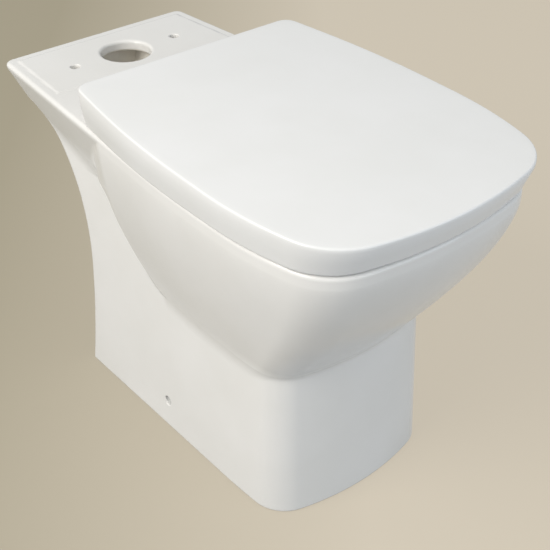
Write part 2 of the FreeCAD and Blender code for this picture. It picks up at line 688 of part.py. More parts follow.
def sleeve_key(start_x, end_x, clearance):
    """The rib along the top of a damper, or with a clearance the groove that it sits in."""
    half = SLEEVE_KEY / 2 + clearance
    return box(
        start_x, end_x, HINGE_Y - half, HINGE_Y + half,
        HINGE_Z + SLEEVE_RADIUS - SLEEVE_KEY, HINGE_Z + SLEEVE_RADIUS + SLEEVE_KEY / 2 + clearance,
    )


def seat_lid():
    """The cover: a hollow cap that wraps down over the ring, with two knuckles behind it."""
    outside = lid_form(0.0)
    top_edges = []
    for edge in outside.Edges:
        if all(abs(v.Point.z - lid_slope(v.Point.y)) < 1e-3 for v in edge.Vertexes):
            top_edges.append(edge)
    outside = outside.makeFillet(LID_EDGE_RADIUS, top_edges)
    hinge_gap = box(
        -LID_CUT_HALF_WIDTH, LID_CUT_HALF_WIDTH,
        LID_REAR_Y - LID_WALL - LID_REAR_RADIUS, LID_REAR_Y + LID_WALL,
        LID_BOTTOM - LID_GAP, HINGE_Z - LID_CUT_MARGIN,
    )
    shell = outside.cut([lid_form(LID_WALL), hinge_gap])
    arm_top = HINGE_Z + KNUCKLE_RADIUS
    arm = box(
        LID_KNUCKLE_START_X, LID_KNUCKLE_END_X, LID_REAR_Y - LID_WALL, HINGE_Y,
        arm_top - ARM_THICKNESS, arm_top,
    )
    hinge = knuckle(LID_KNUCKLE_START_X, LID_KNUCKLE_END_X, arm)
    groove = mirrored(sleeve_key(LID_KNUCKLE_START_X, LID_KNUCKLE_END_X, SEAT_CLEARANCE))
    return shell.multiFuse([hinge, mirrored(hinge)]).cut(groove)


def ring_plan():
    """Outline of the ring, inside the skirt of the lid."""
    outline = LID_LOWER.inset(LID_WALL + RING_SIDE_GAP).reach(rear_y=RING_REAR_Y)
    outline.rear_radius = RING_REAR_RADIUS
    return outline


def seat_ring():
    """The ring that is sat on, with two arms back to its knuckles."""
    ring = prism(ring_plan(), RING_BOTTOM, RING_TOP)
    ring = ring.cut(prism(RING_HOLE, RING_BOTTOM, RING_TOP))
    ring = ring.makeFillet(RING_EDGE_RADIUS, edges_at(ring, RING_TOP))
    arm = box(
        RING_KNUCKLE_START_X, RING_KNUCKLE_END_X, RING_REAR_Y - RING_REAR_RADIUS, HINGE_Y,
        RING_TOP - ARM_THICKNESS, RING_TOP - RING_EDGE_RADIUS / 2,
    )
    riser = box(
        RING_KNUCKLE_START_X, RING_KNUCKLE_END_X, HINGE_Y - KNUCKLE_RADIUS, HINGE_Y,
        RING_TOP - ARM_THICKNESS, HINGE_Z,
    )
    hinge = knuckle(RING_KNUCKLE_START_X, RING_KNUCKLE_END_X, arm.fuse(riser))
    groove = sleeve_key(RING_KNUCKLE_START_X, RING_KNUCKLE_END_X, SEAT_CLEARANCE)
    return ring.multiFuse([hinge, mirrored(hinge)]).cut(groove)


def buffer_places():
    """Where the pads sit, on the right hand side."""
    return [
        (BUFFER_FRONT_X, RING_FRONT_Y + BUFFER_FRONT_INSET),
        (BUFFER_SIDE_X, BUFFER_SIDE_Y),
    ]


def seat_buffers():
    """Four pads under the ring, just off the rim."""
    pads = []
    for x, y in buffer_places():
        for side in (-1, 1):
            pads.append(upright(side * x, y, RIM_HEIGHT + BUFFER_GAP, RING_BOTTOM, BUFFER_RADIUS))
    return Part.makeCompound(pads)


def lid_buffers():
    """Four pads under the lid, just off the ring."""
    pads = []
    ceiling = above_lid(LID_WALL)
    for x, y in buffer_places():
        for side in (-1, 1):
            pad = upright(side * x, y, RING_TOP + BUFFER_GAP, RIM_HEIGHT + LID_REAR_RISE, BUFFER_RADIUS)
            pads.append(pad.cut(ceiling))
    return Part.makeCompound(pads)


def sleeve(start_x, end_x):
    """A plain bush in a knuckle, turning on the pin."""
    body = crosswise(start_x, end_x, HINGE_Y, HINGE_Z, SLEEVE_RADIUS - SEAT_CLEARANCE)
    return body.cut(crosswise(start_x, end_x, HINGE_Y, HINGE_Z, HINGE_PIN_RADIUS + RUNNING_CLEARANCE))


def damper(start_x, end_x):
    """A soft-close cartridge: a sleeve with a rib that locks it in its knuckle."""
    rib = sleeve_key(start_x, end_x, 0.0)
    bore = crosswise(start_x, end_x, HINGE_Y, HINGE_Z, HINGE_PIN_RADIUS + RUNNING_CLEARANCE)
    return sleeve(start_x, end_x).fuse(rib).cut(bore)


def hinge_post():
    """The upright on the deck with the barrel that holds the pin."""
    column = upright(HINGE_X, HINGE_Y, ROSETTE_TOP, HINGE_Z, POST_RADIUS)
    barrel = crosswise(BARREL_INNER_X, BARREL_OUTER_X, HINGE_Y, HINGE_Z, BARREL_RADIUS)
    bore_radius = HINGE_PIN_RADIUS + RUNNING_CLEARANCE
    pin_bore = crosswise(BARREL_INNER_X, BARREL_OUTER_X, HINGE_Y, HINGE_Z, bore_radius)
    thread_top = ROSETTE_TOP + STUD_ENGAGEMENT
    thread = upright(HINGE_X, HINGE_Y, ROSETTE_TOP, thread_top, STUD_RADIUS + SEAT_CLEARANCE)
    return column.fuse(barrel).cut([pin_bore, thread])


def hinge_pin():
    """The pin through lid knuckle, post and ring knuckle."""
    return crosswise(LID_KNUCKLE_START_X, RING_KNUCKLE_END_X, HINGE_Y, HINGE_Z, HINGE_PIN_RADIUS)


def hinge_rosette():
    """The base plate of a hinge."""
    disc = upright(HINGE_X, HINGE_Y, GASKET_TOP, ROSETTE_TOP, ROSETTE_RADIUS)
    disc = disc.makeFillet(ROSETTE_EDGE_RADIUS, edges_at(disc, ROSETTE_TOP))
    return disc.cut(stud_hole(GASKET_TOP, ROSETTE_TOP))


def stud_hole(z0, z1):
    """A clear hole for the hinge stud."""
    return upright(HINGE_X, HINGE_Y, z0, z1, STUD_RADIUS + SEAT_CLEARANCE)


def hinge_gasket():
    """The rubber ring between a base plate and the ceramic."""
    disc = upright(HINGE_X, HINGE_Y, RIM_HEIGHT, GASKET_TOP, ROSETTE_RADIUS - GASKET_THICKNESS)
    return disc.cut(stud_hole(RIM_HEIGHT, GASKET_TOP))


def hinge_stud():
    """The threaded stud from the post down through the deck."""
    return upright(HINGE_X, HINGE_Y, NUT_BOTTOM - STUD_TAIL, ROSETTE_TOP + STUD_ENGAGEMENT, STUD_RADIUS)


def hinge_bush():
    """The rubber bush that fills the ceramic hole, with its flange underneath."""
    body = upright(HINGE_X, HINGE_Y, PLATE_UNDERSIDE, RIM_HEIGHT, DECK_HOLE_RADIUS - SEAT_CLEARANCE)
    flange = upright(HINGE_X, HINGE_Y, BUSH_BOTTOM, PLATE_UNDERSIDE, BUSH_FLANGE_RADIUS)
    return body.fuse(flange).removeSplitter().cut(stud_hole(BUSH_BOTTOM, RIM_HEIGHT))


def hinge_washer():
    """The flat washer above the wing nut."""
    disc = upright(HINGE_X, HINGE_Y, WASHER_BOTTOM, BUSH_BOTTOM, WASHER_RADIUS)
    return disc.cut(stud_hole(WASHER_BOTTOM, BUSH_BOTTOM))


def hinge_wing_nut():
    """The wing nut under the deck."""
    hub = upright(HINGE_X, HINGE_Y, NUT_BOTTOM, WASHER_BOTTOM, NUT_HUB_RADIUS)
    wings = box(
        HINGE_X - WING_REACH, HINGE_X + WING_REACH,
        HINGE_Y - WING_THICKNESS / 2, HINGE_Y + WING_THICKNESS / 2,
        NUT_BOTTOM, NUT_BOTTOM + NUT_HEIGHT / 2,
    )
    return hub.fuse(wings).removeSplitter().cut(stud_hole(NUT_BOTTOM, WASHER_BOTTOM))


DRAFT_SLOPE = math.tan(math.radians(FOOT_DRAFT))
BRACKET_X = FOOT_HALF_WIDTH - CERAMIC_WALL - BRACKET_HEIGHT * DRAFT_SLOPE - SEAT_CLEARANCE
BRACKET_INNER_X = BRACKET_X - BRACKET_PLATE
BRACKET_FRONT_Y = SIDE_HOLE_Y - BRACKET_LENGTH / 2
BRACKET_REAR_Y = SIDE_HOLE_Y + BRACKET_LENGTH / 2
CAP_X = FOOT_HALF_WIDTH - SIDE_HOLE_HEIGHT * DRAFT_SLOPE - CAP_RECESS
SCREW_HEAD_X = CAP_X - CAP_THICKNESS
SCREW_SEAT_X = SCREW_HEAD_X - SCREW_HEAD_HEIGHT
NUT_INNER_X = BRACKET_INNER_X - BRACKET_NUT_HEIGHT


def level(x0, x1, radius):
    """A cylinder along X on the axis of the side fixing."""
    return crosswise(x0, x1, SIDE_HOLE_Y, SIDE_HOLE_HEIGHT, radius)


def floor_bracket():
    """The angle inside the skirt: an upright plate for the side screw and a foot screwed to the floor."""
    plate = box(BRACKET_INNER_X, BRACKET_X, BRACKET_FRONT_Y, BRACKET_REAR_Y, 0, BRACKET_HEIGHT)
    foot = box(BRACKET_X - BRACKET_FOOT, BRACKET_X, BRACKET_FRONT_Y, BRACKET_REAR_Y, 0, BRACKET_PLATE)
    holes = [level(BRACKET_INNER_X, BRACKET_X, SCREW_RADIUS + SEAT_CLEARANCE)]
    for end in (-1, 1):
        hole_y = SIDE_HOLE_Y + end * BRACKET_HOLE_SPACING / 2
        hole_x = BRACKET_X - BRACKET_HOLE_REACH
        holes.append(upright(hole_x, hole_y, 0, BRACKET_PLATE, BRACKET_HOLE_RADIUS))
    return plate.fuse(foot).removeSplitter().cut(holes)


def bracket_nuts():
    """The hexagon nuts behind the upright plates."""
    radius = BRACKET_NUT_WIDTH / math.sqrt(3)
    corners = []
    for i in range(7):
        angle = math.radians(60 * i)
        y = SIDE_HOLE_Y + radius * math.cos(angle)
        z = SIDE_HOLE_HEIGHT + radius * math.sin(angle)
        corners.append(Vector(NUT_INNER_X, y, z))
    nut = Part.Face(Part.makePolygon(corners)).extrude(Vector(BRACKET_NUT_HEIGHT, 0, 0))
    return both_sides(nut.cut(level(NUT_INNER_X, BRACKET_INNER_X, SCREW_RADIUS + SEAT_CLEARANCE)))


def side_screw_sleeves():
    """The sleeves that line the ceramic holes."""
    body = level(BRACKET_X, SCREW_SEAT_X, SIDE_HOLE_RADIUS - SEAT_CLEARANCE)
    return both_sides(body.cut(level(BRACKET_X, SCREW_SEAT_X, SCREW_RADIUS + SEAT_CLEARANCE)))


def side_screws():
    """The screws through skirt, sleeve and bracket."""
    shank = level(NUT_INNER_X - SCREW_TAIL, SCREW_SEAT_X, SCREW_RADIUS)
    head = level(SCREW_SEAT_X, SCREW_HEAD_X, SCREW_HEAD_RADIUS)
    return both_sides(shank.fuse(head).removeSplitter())


def side_screw_caps():
    """The plugs that cover the screw heads, set back in the ceramic."""
    return both_sides(level(SCREW_HEAD_X, CAP_X, SIDE_HOLE_RADIUS - SEAT_CLEARANCE))


WHOLE_PIECES = [
    pan_rim, pan_bowl, pan_foot, pan_trap,
    seat_lid, seat_ring, seat_buffers, lid_buffers,
    bracket_nuts, side_screw_sleeves, side_screws, side_screw_caps,
]
PAIRED_PIECES = [
    hinge_post, hinge_pin, hinge_rosette, hinge_gasket, hinge_stud,
    hinge_bush, hinge_washer, hinge_wing_nut, floor_bracket,
]

for piece in WHOLE_PIECES:
    export(piece.__name__, piece())
for piece in PAIRED_PIECES:
    right = piece()
    export(piece.__name__ + "_right", right)
    export(piece.__name__ + "_left", mirrored(right))
export("lid_bush", sleeve(LID_KNUCKLE_START_X, LID_KNUCKLE_END_X))
export("lid_damper", mirrored(damper(LID_KNUCKLE_START_X, LID_KNUCKLE_END_X)))
export("seat_damper", damper(RING_KNUCKLE_START_X, RING_KNUCKLE_END_X))
export("seat_bush", mirrored(sleeve(RING_KNUCKLE_START_X, RING_KNUCKLE_END_X)))
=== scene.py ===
import json
import math
from dataclasses import dataclass, replace

import bmesh
import bpy
import numpy as np
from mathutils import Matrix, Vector


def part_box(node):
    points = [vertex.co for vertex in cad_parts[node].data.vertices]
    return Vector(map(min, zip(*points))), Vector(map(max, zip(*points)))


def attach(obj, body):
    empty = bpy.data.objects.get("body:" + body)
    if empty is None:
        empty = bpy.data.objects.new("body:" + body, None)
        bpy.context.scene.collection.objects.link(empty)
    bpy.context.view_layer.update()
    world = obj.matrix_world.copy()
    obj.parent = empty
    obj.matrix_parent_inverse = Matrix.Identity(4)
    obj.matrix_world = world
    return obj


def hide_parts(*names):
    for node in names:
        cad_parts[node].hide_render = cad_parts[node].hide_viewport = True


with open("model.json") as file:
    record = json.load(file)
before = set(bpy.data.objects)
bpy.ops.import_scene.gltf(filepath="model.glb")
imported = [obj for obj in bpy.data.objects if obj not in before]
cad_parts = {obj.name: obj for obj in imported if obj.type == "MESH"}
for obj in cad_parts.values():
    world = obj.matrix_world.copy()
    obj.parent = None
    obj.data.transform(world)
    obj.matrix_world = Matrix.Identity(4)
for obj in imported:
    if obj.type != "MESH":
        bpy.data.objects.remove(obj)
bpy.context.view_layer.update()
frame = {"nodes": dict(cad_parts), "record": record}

# Lengths are millimetres and angles degrees up to the stage. Meshes are written in metres.
# +Z is up, the floor is Z = 0, the front of the pan points to -Y.
MM = 0.001


def cad_box(node):
    """Lowest and highest corner of a solid of the frame, in millimetres."""
    low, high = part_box(node)
    return low / MM, high / MM


RIM_LOW, RIM_HIGH = cad_box("pan_rim")
FOOT_LOW, FOOT_HIGH = cad_box("pan_foot")
BOWL_LOW, BOWL_HIGH = cad_box("pan_bowl")
TRAP_HIGH = cad_box("pan_trap")[1]
LID_LOW, LID_HIGH = cad_box("seat_lid")
RING_LOW = cad_box("seat_ring")[0]
LID_KNUCKLE_LOW, LID_KNUCKLE_HIGH = cad_box("lid_bush")
RING_KNUCKLE_LOW, RING_KNUCKLE_HIGH = cad_box("seat_damper")
PIN_LOW, PIN_HIGH = cad_box("hinge_pin_right")
CAP_LOW, CAP_HIGH = cad_box("side_screw_caps")

# Ceramic, in plan. The hip of an outline is its widest stretch.
# Radii are in the order front, corner, side and, where there is one more, rear corner.
RIM_HIP_SETBACK = 152.0
RIM_HIP_LENGTH = 30.0
RIM_RADII = (512.0, 66.0, 385.0)
RIM_FLANK_RADIUS = 1500.0
RIM_TAPER = 4.3
DECK_CORNER_RADIUS = 12.0
SMALLEST_CORNER = 2.0
FLANK_SHARE = 0.9
OPENING_HALF_WIDTH = 119.0
RIM_WIDTH = 50.0
REAR_RIM_WIDTH = 40.0
OPENING_RADII = (190.0, 95.0, 380.0, 80.0)
FOOT_RADII = (330.0, 46.0, 900.0)
FOOT_HIP_SETBACK = 110.0

# Ceramic, in height
PAD_HEIGHT = 1.0
PAD_INSET = 13.0
PAD_SETBACK = 127.5
PAD_RAMP = 3.0
PLATE_THICKNESS = 14.0
RIM_EDGE_RADIUS = 5.0
WALL = 12.0
# Band: the side of the deck behind the bowl, leaning in below its top
BAND_START = 6.0
BAND_DEPTH = 90.0
BAND_LEAN = 29.5
BAND_TAPER = 6.2
BAND_SOFTNESS = 8.0
# Deck, curtain under the rim, and bowl
DECK_DEPTH = 52.0
CURTAIN_DEPTH = 34.0
CURTAIN_WALL = 10.0
CREASE_HEIGHT = 200.0
CREASE_HALF_WIDTH = 119.5
CREASE_SETBACK = 106.5
BOWL_BULGE = 1.42
BOWL_REAR_SHOULDER = 300.0
BOWL_REAR_RUN = 87.0
BOWL_REAR_RADIUS = 80.0
BOWL_REAR_CURVE = 1.4
# Skin: the outside of the bowl, whose rear end curves down to the crease
SKIN_SHOULDER = 320.0
SKIN_CURVE = 1.6
SKIN_REAR_SHIFT = 8.0
SKIN_CREASE_SHIFT = 8.0
SKIN_REAR_RADIUS = 50.0
# Sump and pedestal
SUMP_NARROWING = 0.59
SUMP_SHORTENING = 0.76
FOOT_DRAFT = 2.1
FOOT_REAR_SETBACK = 130.0
# Waist and swoop: the rear edge of the pedestal, drawn in and then out under the deck
WAIST_STEP = 11.0
WAIST_HEIGHT = 150.0
SWOOP_SETBACK = 38.0
SWOOP_LOWER_PULL = 0.53
SWOOP_UPPER_PULL = 0.78
SWOOP_UPPER_LEAN = 0.45

# Soft corners of the fired body
CREASE_BLEND = 8.0
# Notch: the corner between the rear end of the bowl and the band
NOTCH_BLEND = 40.0
NOTCH_BLEND_RISE = 60.0
NOTCH_HEIGHT = 320.0
NOTCH_FADE = 40.0
NOTCH_SETBACK = 55.0
NOTCH_RUN = 55.0
# Edges and corners elsewhere
SMALLEST_BLEND = 0.1
SKIRT_BLEND = 6.0
SUMP_RADIUS = 25.0
EDGE_RADIUS = 3.5
REAR_EDGE_RADIUS = 6.0
FLOOR_EDGE_RADIUS = 3.0
UNDER_DECK_BLEND = 12.0
TRAP_BLEND = 10.0
INLET_EDGE_RADIUS = 4.0
HOLE_EDGE_RADIUS = 1.5
SIDE_HOLE_EDGE_RADIUS = 0.6
BARE_HEIGHT = 0.35

# Trapway, flush duct and holes
OUTLET_RADIUS = 51.0
OUTLET_WALL = 10.0
OUTLET_HEIGHT = 185.0
TRAP_BEND_RADIUS = 58.0
TRAP_START = 70.0
TRAP_DIP_RUN = 18.0
TRAP_DIP_HEIGHT = 100.0
TRAP_CREST_SHARE = 0.435
TRAP_CREST_HEIGHT = 265.0
TRAP_DROP_SETBACK = 119.5
INLET_SETBACK = 74.5
INLET_RADIUS = 32.0
DUCT_HALF_WIDTH = 40.0
DUCT_WALL = 8.0
DUCT_HEIGHT = 30.0
CISTERN_BOLT_X = 75.0
CISTERN_BOLT_RADIUS = 6.0
HINGE_HOLE_RADIUS = 7.5
SIDE_HOLE_RADIUS = 6.0
CAP_THICKNESS = 2.0
CAP_LIP = 0.6
CAP_DISH = 1.5
CAP_BEVEL = 0.2

# Lid and ring
LID_HIP_SETBACK = 178.0
LID_HIP_LENGTH = 40.0
LID_RADII = (440.0, 75.0, 450.0)
LID_FLANK_RADIUS = 1200.0
LID_TAPER = 8.0
LID_REAR_RADIUS = 18.0
LID_HINGE_SETBACK = 11.0
LID_FRONT_RISE = 37.5
LID_REAR_RISE = 49.3
LID_FRONT_LEAN = 12.5
LID_SIDE_LEAN = 6.0
LID_WALL = 4.5
LID_EDGE_RADIUS = 2.4
LID_EDGE_DEPTH = 5.0
LID_CROWN = 1.2
LID_NOTCH_HALF_WIDTH = 120.0
LID_NOTCH_SOFTNESS = 8.0
LID_NOTCH_MARGIN = 1.0
LID_LIP = 1.0
LID_LIP_BEVEL = 0.3
LID_LEAST_SKIRT = 2.0
LID_SKIRT_SHARES = (0.0, 0.05, 0.15, 0.5, 1.0)
LID_TOP_INSETS = (8.0, 16.0, 30.0, 48.0)
LID_ARM_HEEL = 4.0
LID_ARM_ROOT = 2.0
RING_SIDE_GAP = 3.0
RING_THICKNESS = 18.0
RING_REAR_SETBACK = 32.0
RING_REAR_RADIUS = 30.0
RING_EDGE_RADIUS = 5.0
RING_HOLE_HALF_WIDTH = 108.0
RING_REAR_WIDTH = 35.5
RING_HOLE_HIP_SETBACK = 100.0
RING_WIDTH = 72.0
RING_HOLE_RADII = (150.0, 85.0, 330.0, 75.0)
RING_HOLE_EDGE_RADIUS = 9.0
RING_DISH = 1.6
RING_TOP_SHARES = (0.15, 0.3, 0.45, 0.6, 0.75, 0.9)
RING_LIP = 2.0
RING_LIP_BEVEL = 0.6
RING_ARM_STEP = 4.0
RING_ARM_RISE = 3.0
RING_ARM_HOLD = (190.0, 320.0)
KNUCKLE_RADIUS = 9.0
SLEEVE_RADIUS = 6.5
ARM_THICKNESS = 12.0
BAR_BEVEL = 0.8
BORE_BEVEL = 0.3
BEVEL_BOW = 0.3
SHARP_EDGE = 40.0
MERGE_DISTANCE = 0.02

# Points along outlines and round edges
FRONT_STEPS = 14
CORNER_STEPS = 16
SIDE_STEPS = 16
HIP_STEPS = 3
FLANK_STEPS = 8
TAPER_STEPS = 10
REAR_CORNER_STEPS = 10
REAR_STEPS = 30
WAIST_STEPS = 16
SWOOP_STEPS = 48
LID_CEILING_STEPS = 4
LID_EDGE_STEPS = 7
LID_KNUCKLE_STEPS = 20
LID_SPINE_SHARES = (0.25, 0.5, 0.75, 1.0)
RING_EDGE_STEPS = 6
RING_ARM_STEPS = 16
RING_KNUCKLE_STEPS = 40
CAP_STEPS = 36
CAP_DISH_STEPS = 7

# How closely the ceramic is meshed
FULL_GRID = 3.0
GRID = FULL_GRID
GRID_BLOCK = 4
FINE_SHARE = 0.4
FINE_REACH = 9.0
SLOPE_REACH = 0.05
NORMAL_REACH = 0.2
LEAST_STEEPNESS = 0.1
SMOOTHING_ROUNDS = 4
SMOOTHING_SHARE = 0.5
TINY = 1e-9

# Places that follow
RIM_HEIGHT = RIM_HIGH.z - PAD_HEIGHT
PLATE_UNDERSIDE = RIM_HEIGHT - PLATE_THICKNESS
BAND_TOP = RIM_HEIGHT - BAND_START
DECK_UNDERSIDE = RIM_HEIGHT - DECK_DEPTH
CURTAIN_BOTTOM = PLATE_UNDERSIDE - CURTAIN_DEPTH
RIM_FRONT_Y = RIM_LOW.y
DECK_REAR_Y = RIM_HIGH.y
BOWL_REAR_Y = BOWL_HIGH.y
BOWL_REAR_CREASE_Y = BOWL_REAR_Y - BOWL_REAR_RUN
CREASE_FRONT_Y = RIM_FRONT_Y + CREASE_SETBACK
NOTCH_FRONT_Y = BOWL_REAR_Y - NOTCH_SETBACK
SUMP_BASE = BOWL_LOW.z
FOOT_FRONT_Y = FOOT_LOW.y
FOOT_REAR_Y = DECK_REAR_Y - FOOT_REAR_SETBACK
WAIST_REAR_Y = FOOT_REAR_Y - WAIST_STEP
SWOOP_END_Y = DECK_REAR_Y - SWOOP_SETBACK
PAD_FRONT_Y = DECK_REAR_Y - PAD_SETBACK
OUTLET_END_Y = TRAP_HIGH.y
TRAP_DIP_Y = BOWL_REAR_CREASE_Y + TRAP_DIP_RUN
TRAP_DROP_Y = DECK_REAR_Y - TRAP_DROP_SETBACK
TRAP_CREST_Y = TRAP_DIP_Y + TRAP_CREST_SHARE * (TRAP_DROP_Y - TRAP_DIP_Y)
INLET_Y = DECK_REAR_Y - INLET_SETBACK
DUCT_FLOOR = PLATE_UNDERSIDE - DUCT_HEIGHT
HINGE_Y = (PIN_LOW.y + PIN_HIGH.y) / 2
HINGE_Z = (PIN_LOW.z + PIN_HIGH.z) / 2
HINGE_X = (LID_KNUCKLE_HIGH.x + RING_KNUCKLE_LOW.x) / 2
SIDE_HOLE_Y = (CAP_LOW.y + CAP_HIGH.y) / 2
SIDE_HOLE_Z = (CAP_LOW.z + CAP_HIGH.z) / 2
LID_FRONT_Y = LID_LOW.y
LID_REAR_Y = HINGE_Y - LID_HINGE_SETBACK
LID_BOTTOM = LID_LOW.z
LID_SPINE = (LID_FRONT_Y / 2, 0.0)
LID_SKIRT_TOP = RIM_HEIGHT + LID_FRONT_RISE - LID_EDGE_DEPTH
RING_BOTTOM = RING_LOW.z
RING_TOP = RING_BOTTOM + RING_THICKNESS
RING_REAR_Y = LID_REAR_Y - RING_REAR_SETBACK


def between(start, end, share):
    """A value part of the way from start to end."""
    return start + (end - start) * share


@dataclass
class Plan:
    """A plan outline, the same on both sides of X = 0, of arcs and lines that run smoothly on.
    Its sizes may be arrays, one value per point, for a shape that changes with height."""

    half_width: float
    front_y: float
    rear_y: float
    hip_front_y: float
    hip_rear_y: float
    front_radius: float
    corner_radius: float
    side_radius: float
    rear_radius: float
    flank_radius: float = 0.0
    taper: float = 0.0

    def inset(self, by):
        """The parallel outline drawn in by a distance, or out by a negative one."""
        return Plan(
            self.half_width - by, self.front_y + by, self.rear_y - by,
            self.hip_front_y, self.hip_rear_y,
            self.front_radius - by, self.corner_radius - by, self.side_radius - by,
            np.maximum(self.rear_radius - by, SMALLEST_CORNER),
            self.flank_radius - by, self.taper,
        )

    def layout(self):
        """Centres and turning points of the arcs."""
        front_y = self.front_y + self.front_radius
        side_x = self.half_width - self.side_radius
        first = self.front_radius - self.corner_radius
        second = self.side_radius - self.corner_radius
        span_y = self.hip_front_y - front_y
        length = np.hypot(side_x, span_y)
        forward = (first ** 2 - second ** 2 + length ** 2) / (2 * length)
        sideways = np.sqrt(first ** 2 - forward ** 2)
        corner_x = (side_x * forward - span_y * sideways) / length
        corner_y = front_y + (span_y * forward + side_x * sideways) / length
        turn = 0.0
        if self.taper > 0:
            room = self.rear_y - self.rear_radius - self.hip_rear_y
            turn = np.arcsin(FLANK_SHARE * room / self.flank_radius)
            turn = np.minimum(turn, math.radians(self.taper))
        flank_x = self.half_width - self.flank_radius
        flank_end_x = flank_x + np.cos(turn) * self.flank_radius
        flank_end_y = self.hip_rear_y + np.sin(turn) * self.flank_radius
        run = self.rear_y - self.rear_radius * (1 - np.sin(turn)) - flank_end_y
        rear_x = flank_end_x - run * np.tan(turn) - self.rear_radius * np.cos(turn)
        return front_y, side_x, corner_x, corner_y, turn, flank_x, flank_end_x, flank_end_y, rear_x

    def distance(self, x, y):
        """Signed distance of points with X at or above 0 from the outline, below zero inside."""
        front_y, side_x, corner_x, corner_y, turn, flank_x, end_x, end_y, rear_x = self.layout()
        past_hip = y - self.hip_rear_y
        flank = np.hypot(x - flank_x, past_hip) - self.flank_radius
        taper = (x - end_x) * np.cos(turn) + (y - end_y) * np.sin(turn)
        rear_run = np.where(np.arctan2(past_hip, x - flank_x) < turn, flank, taper)
        side_run = np.where(past_hip < 0, x - self.half_width, rear_run)
        side_arc = np.hypot(x - side_x, y - self.hip_front_y) - self.side_radius
        side = np.where(y < self.hip_front_y, side_arc, side_run)
        front = np.hypot(x, y - front_y) - self.front_radius
        away_x = x - corner_x
        away_y = y - corner_y
        past_front = corner_x * away_y - (corner_y - front_y) * away_x >= 0
        before_side = away_x * (corner_y - self.hip_front_y) - away_y * (corner_x - side_x) >= 0
        corner = np.hypot(away_x, away_y) - self.corner_radius
        near = np.where(past_front & before_side, corner, np.maximum(front, side))
        back_x = x - rear_x
        back_y = y - (self.rear_y - self.rear_radius)
        past_taper = back_y * np.cos(turn) - back_x * np.sin(turn) >= 0
        rear_corner = np.hypot(back_x, back_y) - self.rear_radius
        rear = np.maximum(near, y - self.rear_y)
        return np.where(past_taper & (back_x >= 0), rear_corner, rear)

    def outline(self):
        """Points of the whole outline, from the middle of the front round by +X, as rows of X and Y."""
        front_y, side_x, corner_x, corner_y, turn, flank_x, end_x, end_y, rear_x = self.layout()
        front_angle = math.atan2(corner_y - front_y, corner_x)
        side_angle = math.atan2(corner_y - self.hip_front_y, corner_x - side_x)
        rear_centre = (rear_x, self.rear_y - self.rear_radius)
        taper_end = (
            rear_centre[0] + self.rear_radius * math.cos(turn),
            rear_centre[1] + self.rear_radius * math.sin(turn),
        )
        side_start = (self.half_width, self.hip_front_y)
        half = [
            arc_points((0.0, front_y), self.front_radius, -math.pi / 2, front_angle, FRONT_STEPS),
            arc_points((corner_x, corner_y), self.corner_radius, front_angle, side_angle, CORNER_STEPS),
            arc_points((side_x, self.hip_front_y), self.side_radius, side_angle, 0.0, SIDE_STEPS),
        ]
        if self.taper > 0:
            half.append(line_points(side_start, (self.half_width, self.hip_rear_y), HIP_STEPS))
            half.append(arc_points((flank_x, self.hip_rear_y), self.flank_radius, 0.0, turn, FLANK_STEPS))
            half.append(line_points((end_x, end_y), taper_end, TAPER_STEPS))
        else:
            half.append(line_points(side_start, taper_end, HIP_STEPS + FLANK_STEPS + TAPER_STEPS))
        half.append(arc_points(rear_centre, self.rear_radius, turn, math.pi / 2, REAR_CORNER_STEPS))
        half.append(line_points((rear_x, self.rear_y), (0.0, self.rear_y), REAR_STEPS))
        right = np.vstack(half)
        left = right[:0:-1] * (-1, 1)
        return np.vstack([right, [(0.0, self.rear_y)], left])


def arc_points(centre, radius, start, end, count):
    """Points on an arc, without its last one."""
    angles = np.linspace(start, end, count, endpoint=False)
    return np.add(centre, radius * np.column_stack([np.cos(angles), np.sin(angles)]))


def line_points(start, end, count):
    """Points on a line, without its last one."""
    return np.linspace(start, end, count, endpoint=False)


RIM = Plan(
    RIM_HIGH.x, RIM_FRONT_Y, DECK_REAR_Y,
    RIM_FRONT_Y + RIM_HIP_SETBACK, RIM_FRONT_Y + RIM_HIP_SETBACK + RIM_HIP_LENGTH,
    *RIM_RADII, DECK_CORNER_RADIUS, RIM_FLANK_RADIUS, RIM_TAPER,
)
BAND_LOWER = replace(RIM.inset(BAND_LEAN), taper=BAND_TAPER)
OPENING = Plan(
    OPENING_HALF_WIDTH, RIM_FRONT_Y + RIM_WIDTH, BOWL_REAR_Y - REAR_RIM_WIDTH,
    RIM.hip_front_y, RIM.hip_rear_y, *OPENING_RADII,
)
FOOT = Plan(
    FOOT_HIGH.x, FOOT_FRONT_Y, SWOOP_END_Y,
    FOOT_FRONT_Y + FOOT_HIP_SETBACK, FOOT_FRONT_Y + FOOT_HIP_SETBACK,
    *FOOT_RADII, SMALLEST_CORNER,
)
FOOT_INSIDE = replace(FOOT.inset(WALL), rear_y=SWOOP_END_Y + WALL)
LID = Plan(
    LID_HIGH.x, LID_FRONT_Y, LID_REAR_Y,
    LID_FRONT_Y + LID_HIP_SETBACK, LID_FRONT_Y + LID_HIP_SETBACK + LID_HIP_LENGTH,
    *LID_RADII, LID_REAR_RADIUS, LID_FLANK_RADIUS, LID_TAPER,
)
LID_LOWER = replace(LID.inset(LID_SIDE_LEAN), front_y=LID_FRONT_Y + LID_FRONT_LEAN, rear_y=LID_REAR_Y)
RING = replace(LID_LOWER.inset(LID_WALL + RING_SIDE_GAP), rear_y=RING_REAR_Y, rear_radius=RING_REAR_RADIUS)
RING_HOLE_FRONT_Y = RING.front_y + RING_WIDTH
RING_HOLE_HIP_Y = RING_HOLE_FRONT_Y + RING_HOLE_HIP_SETBACK
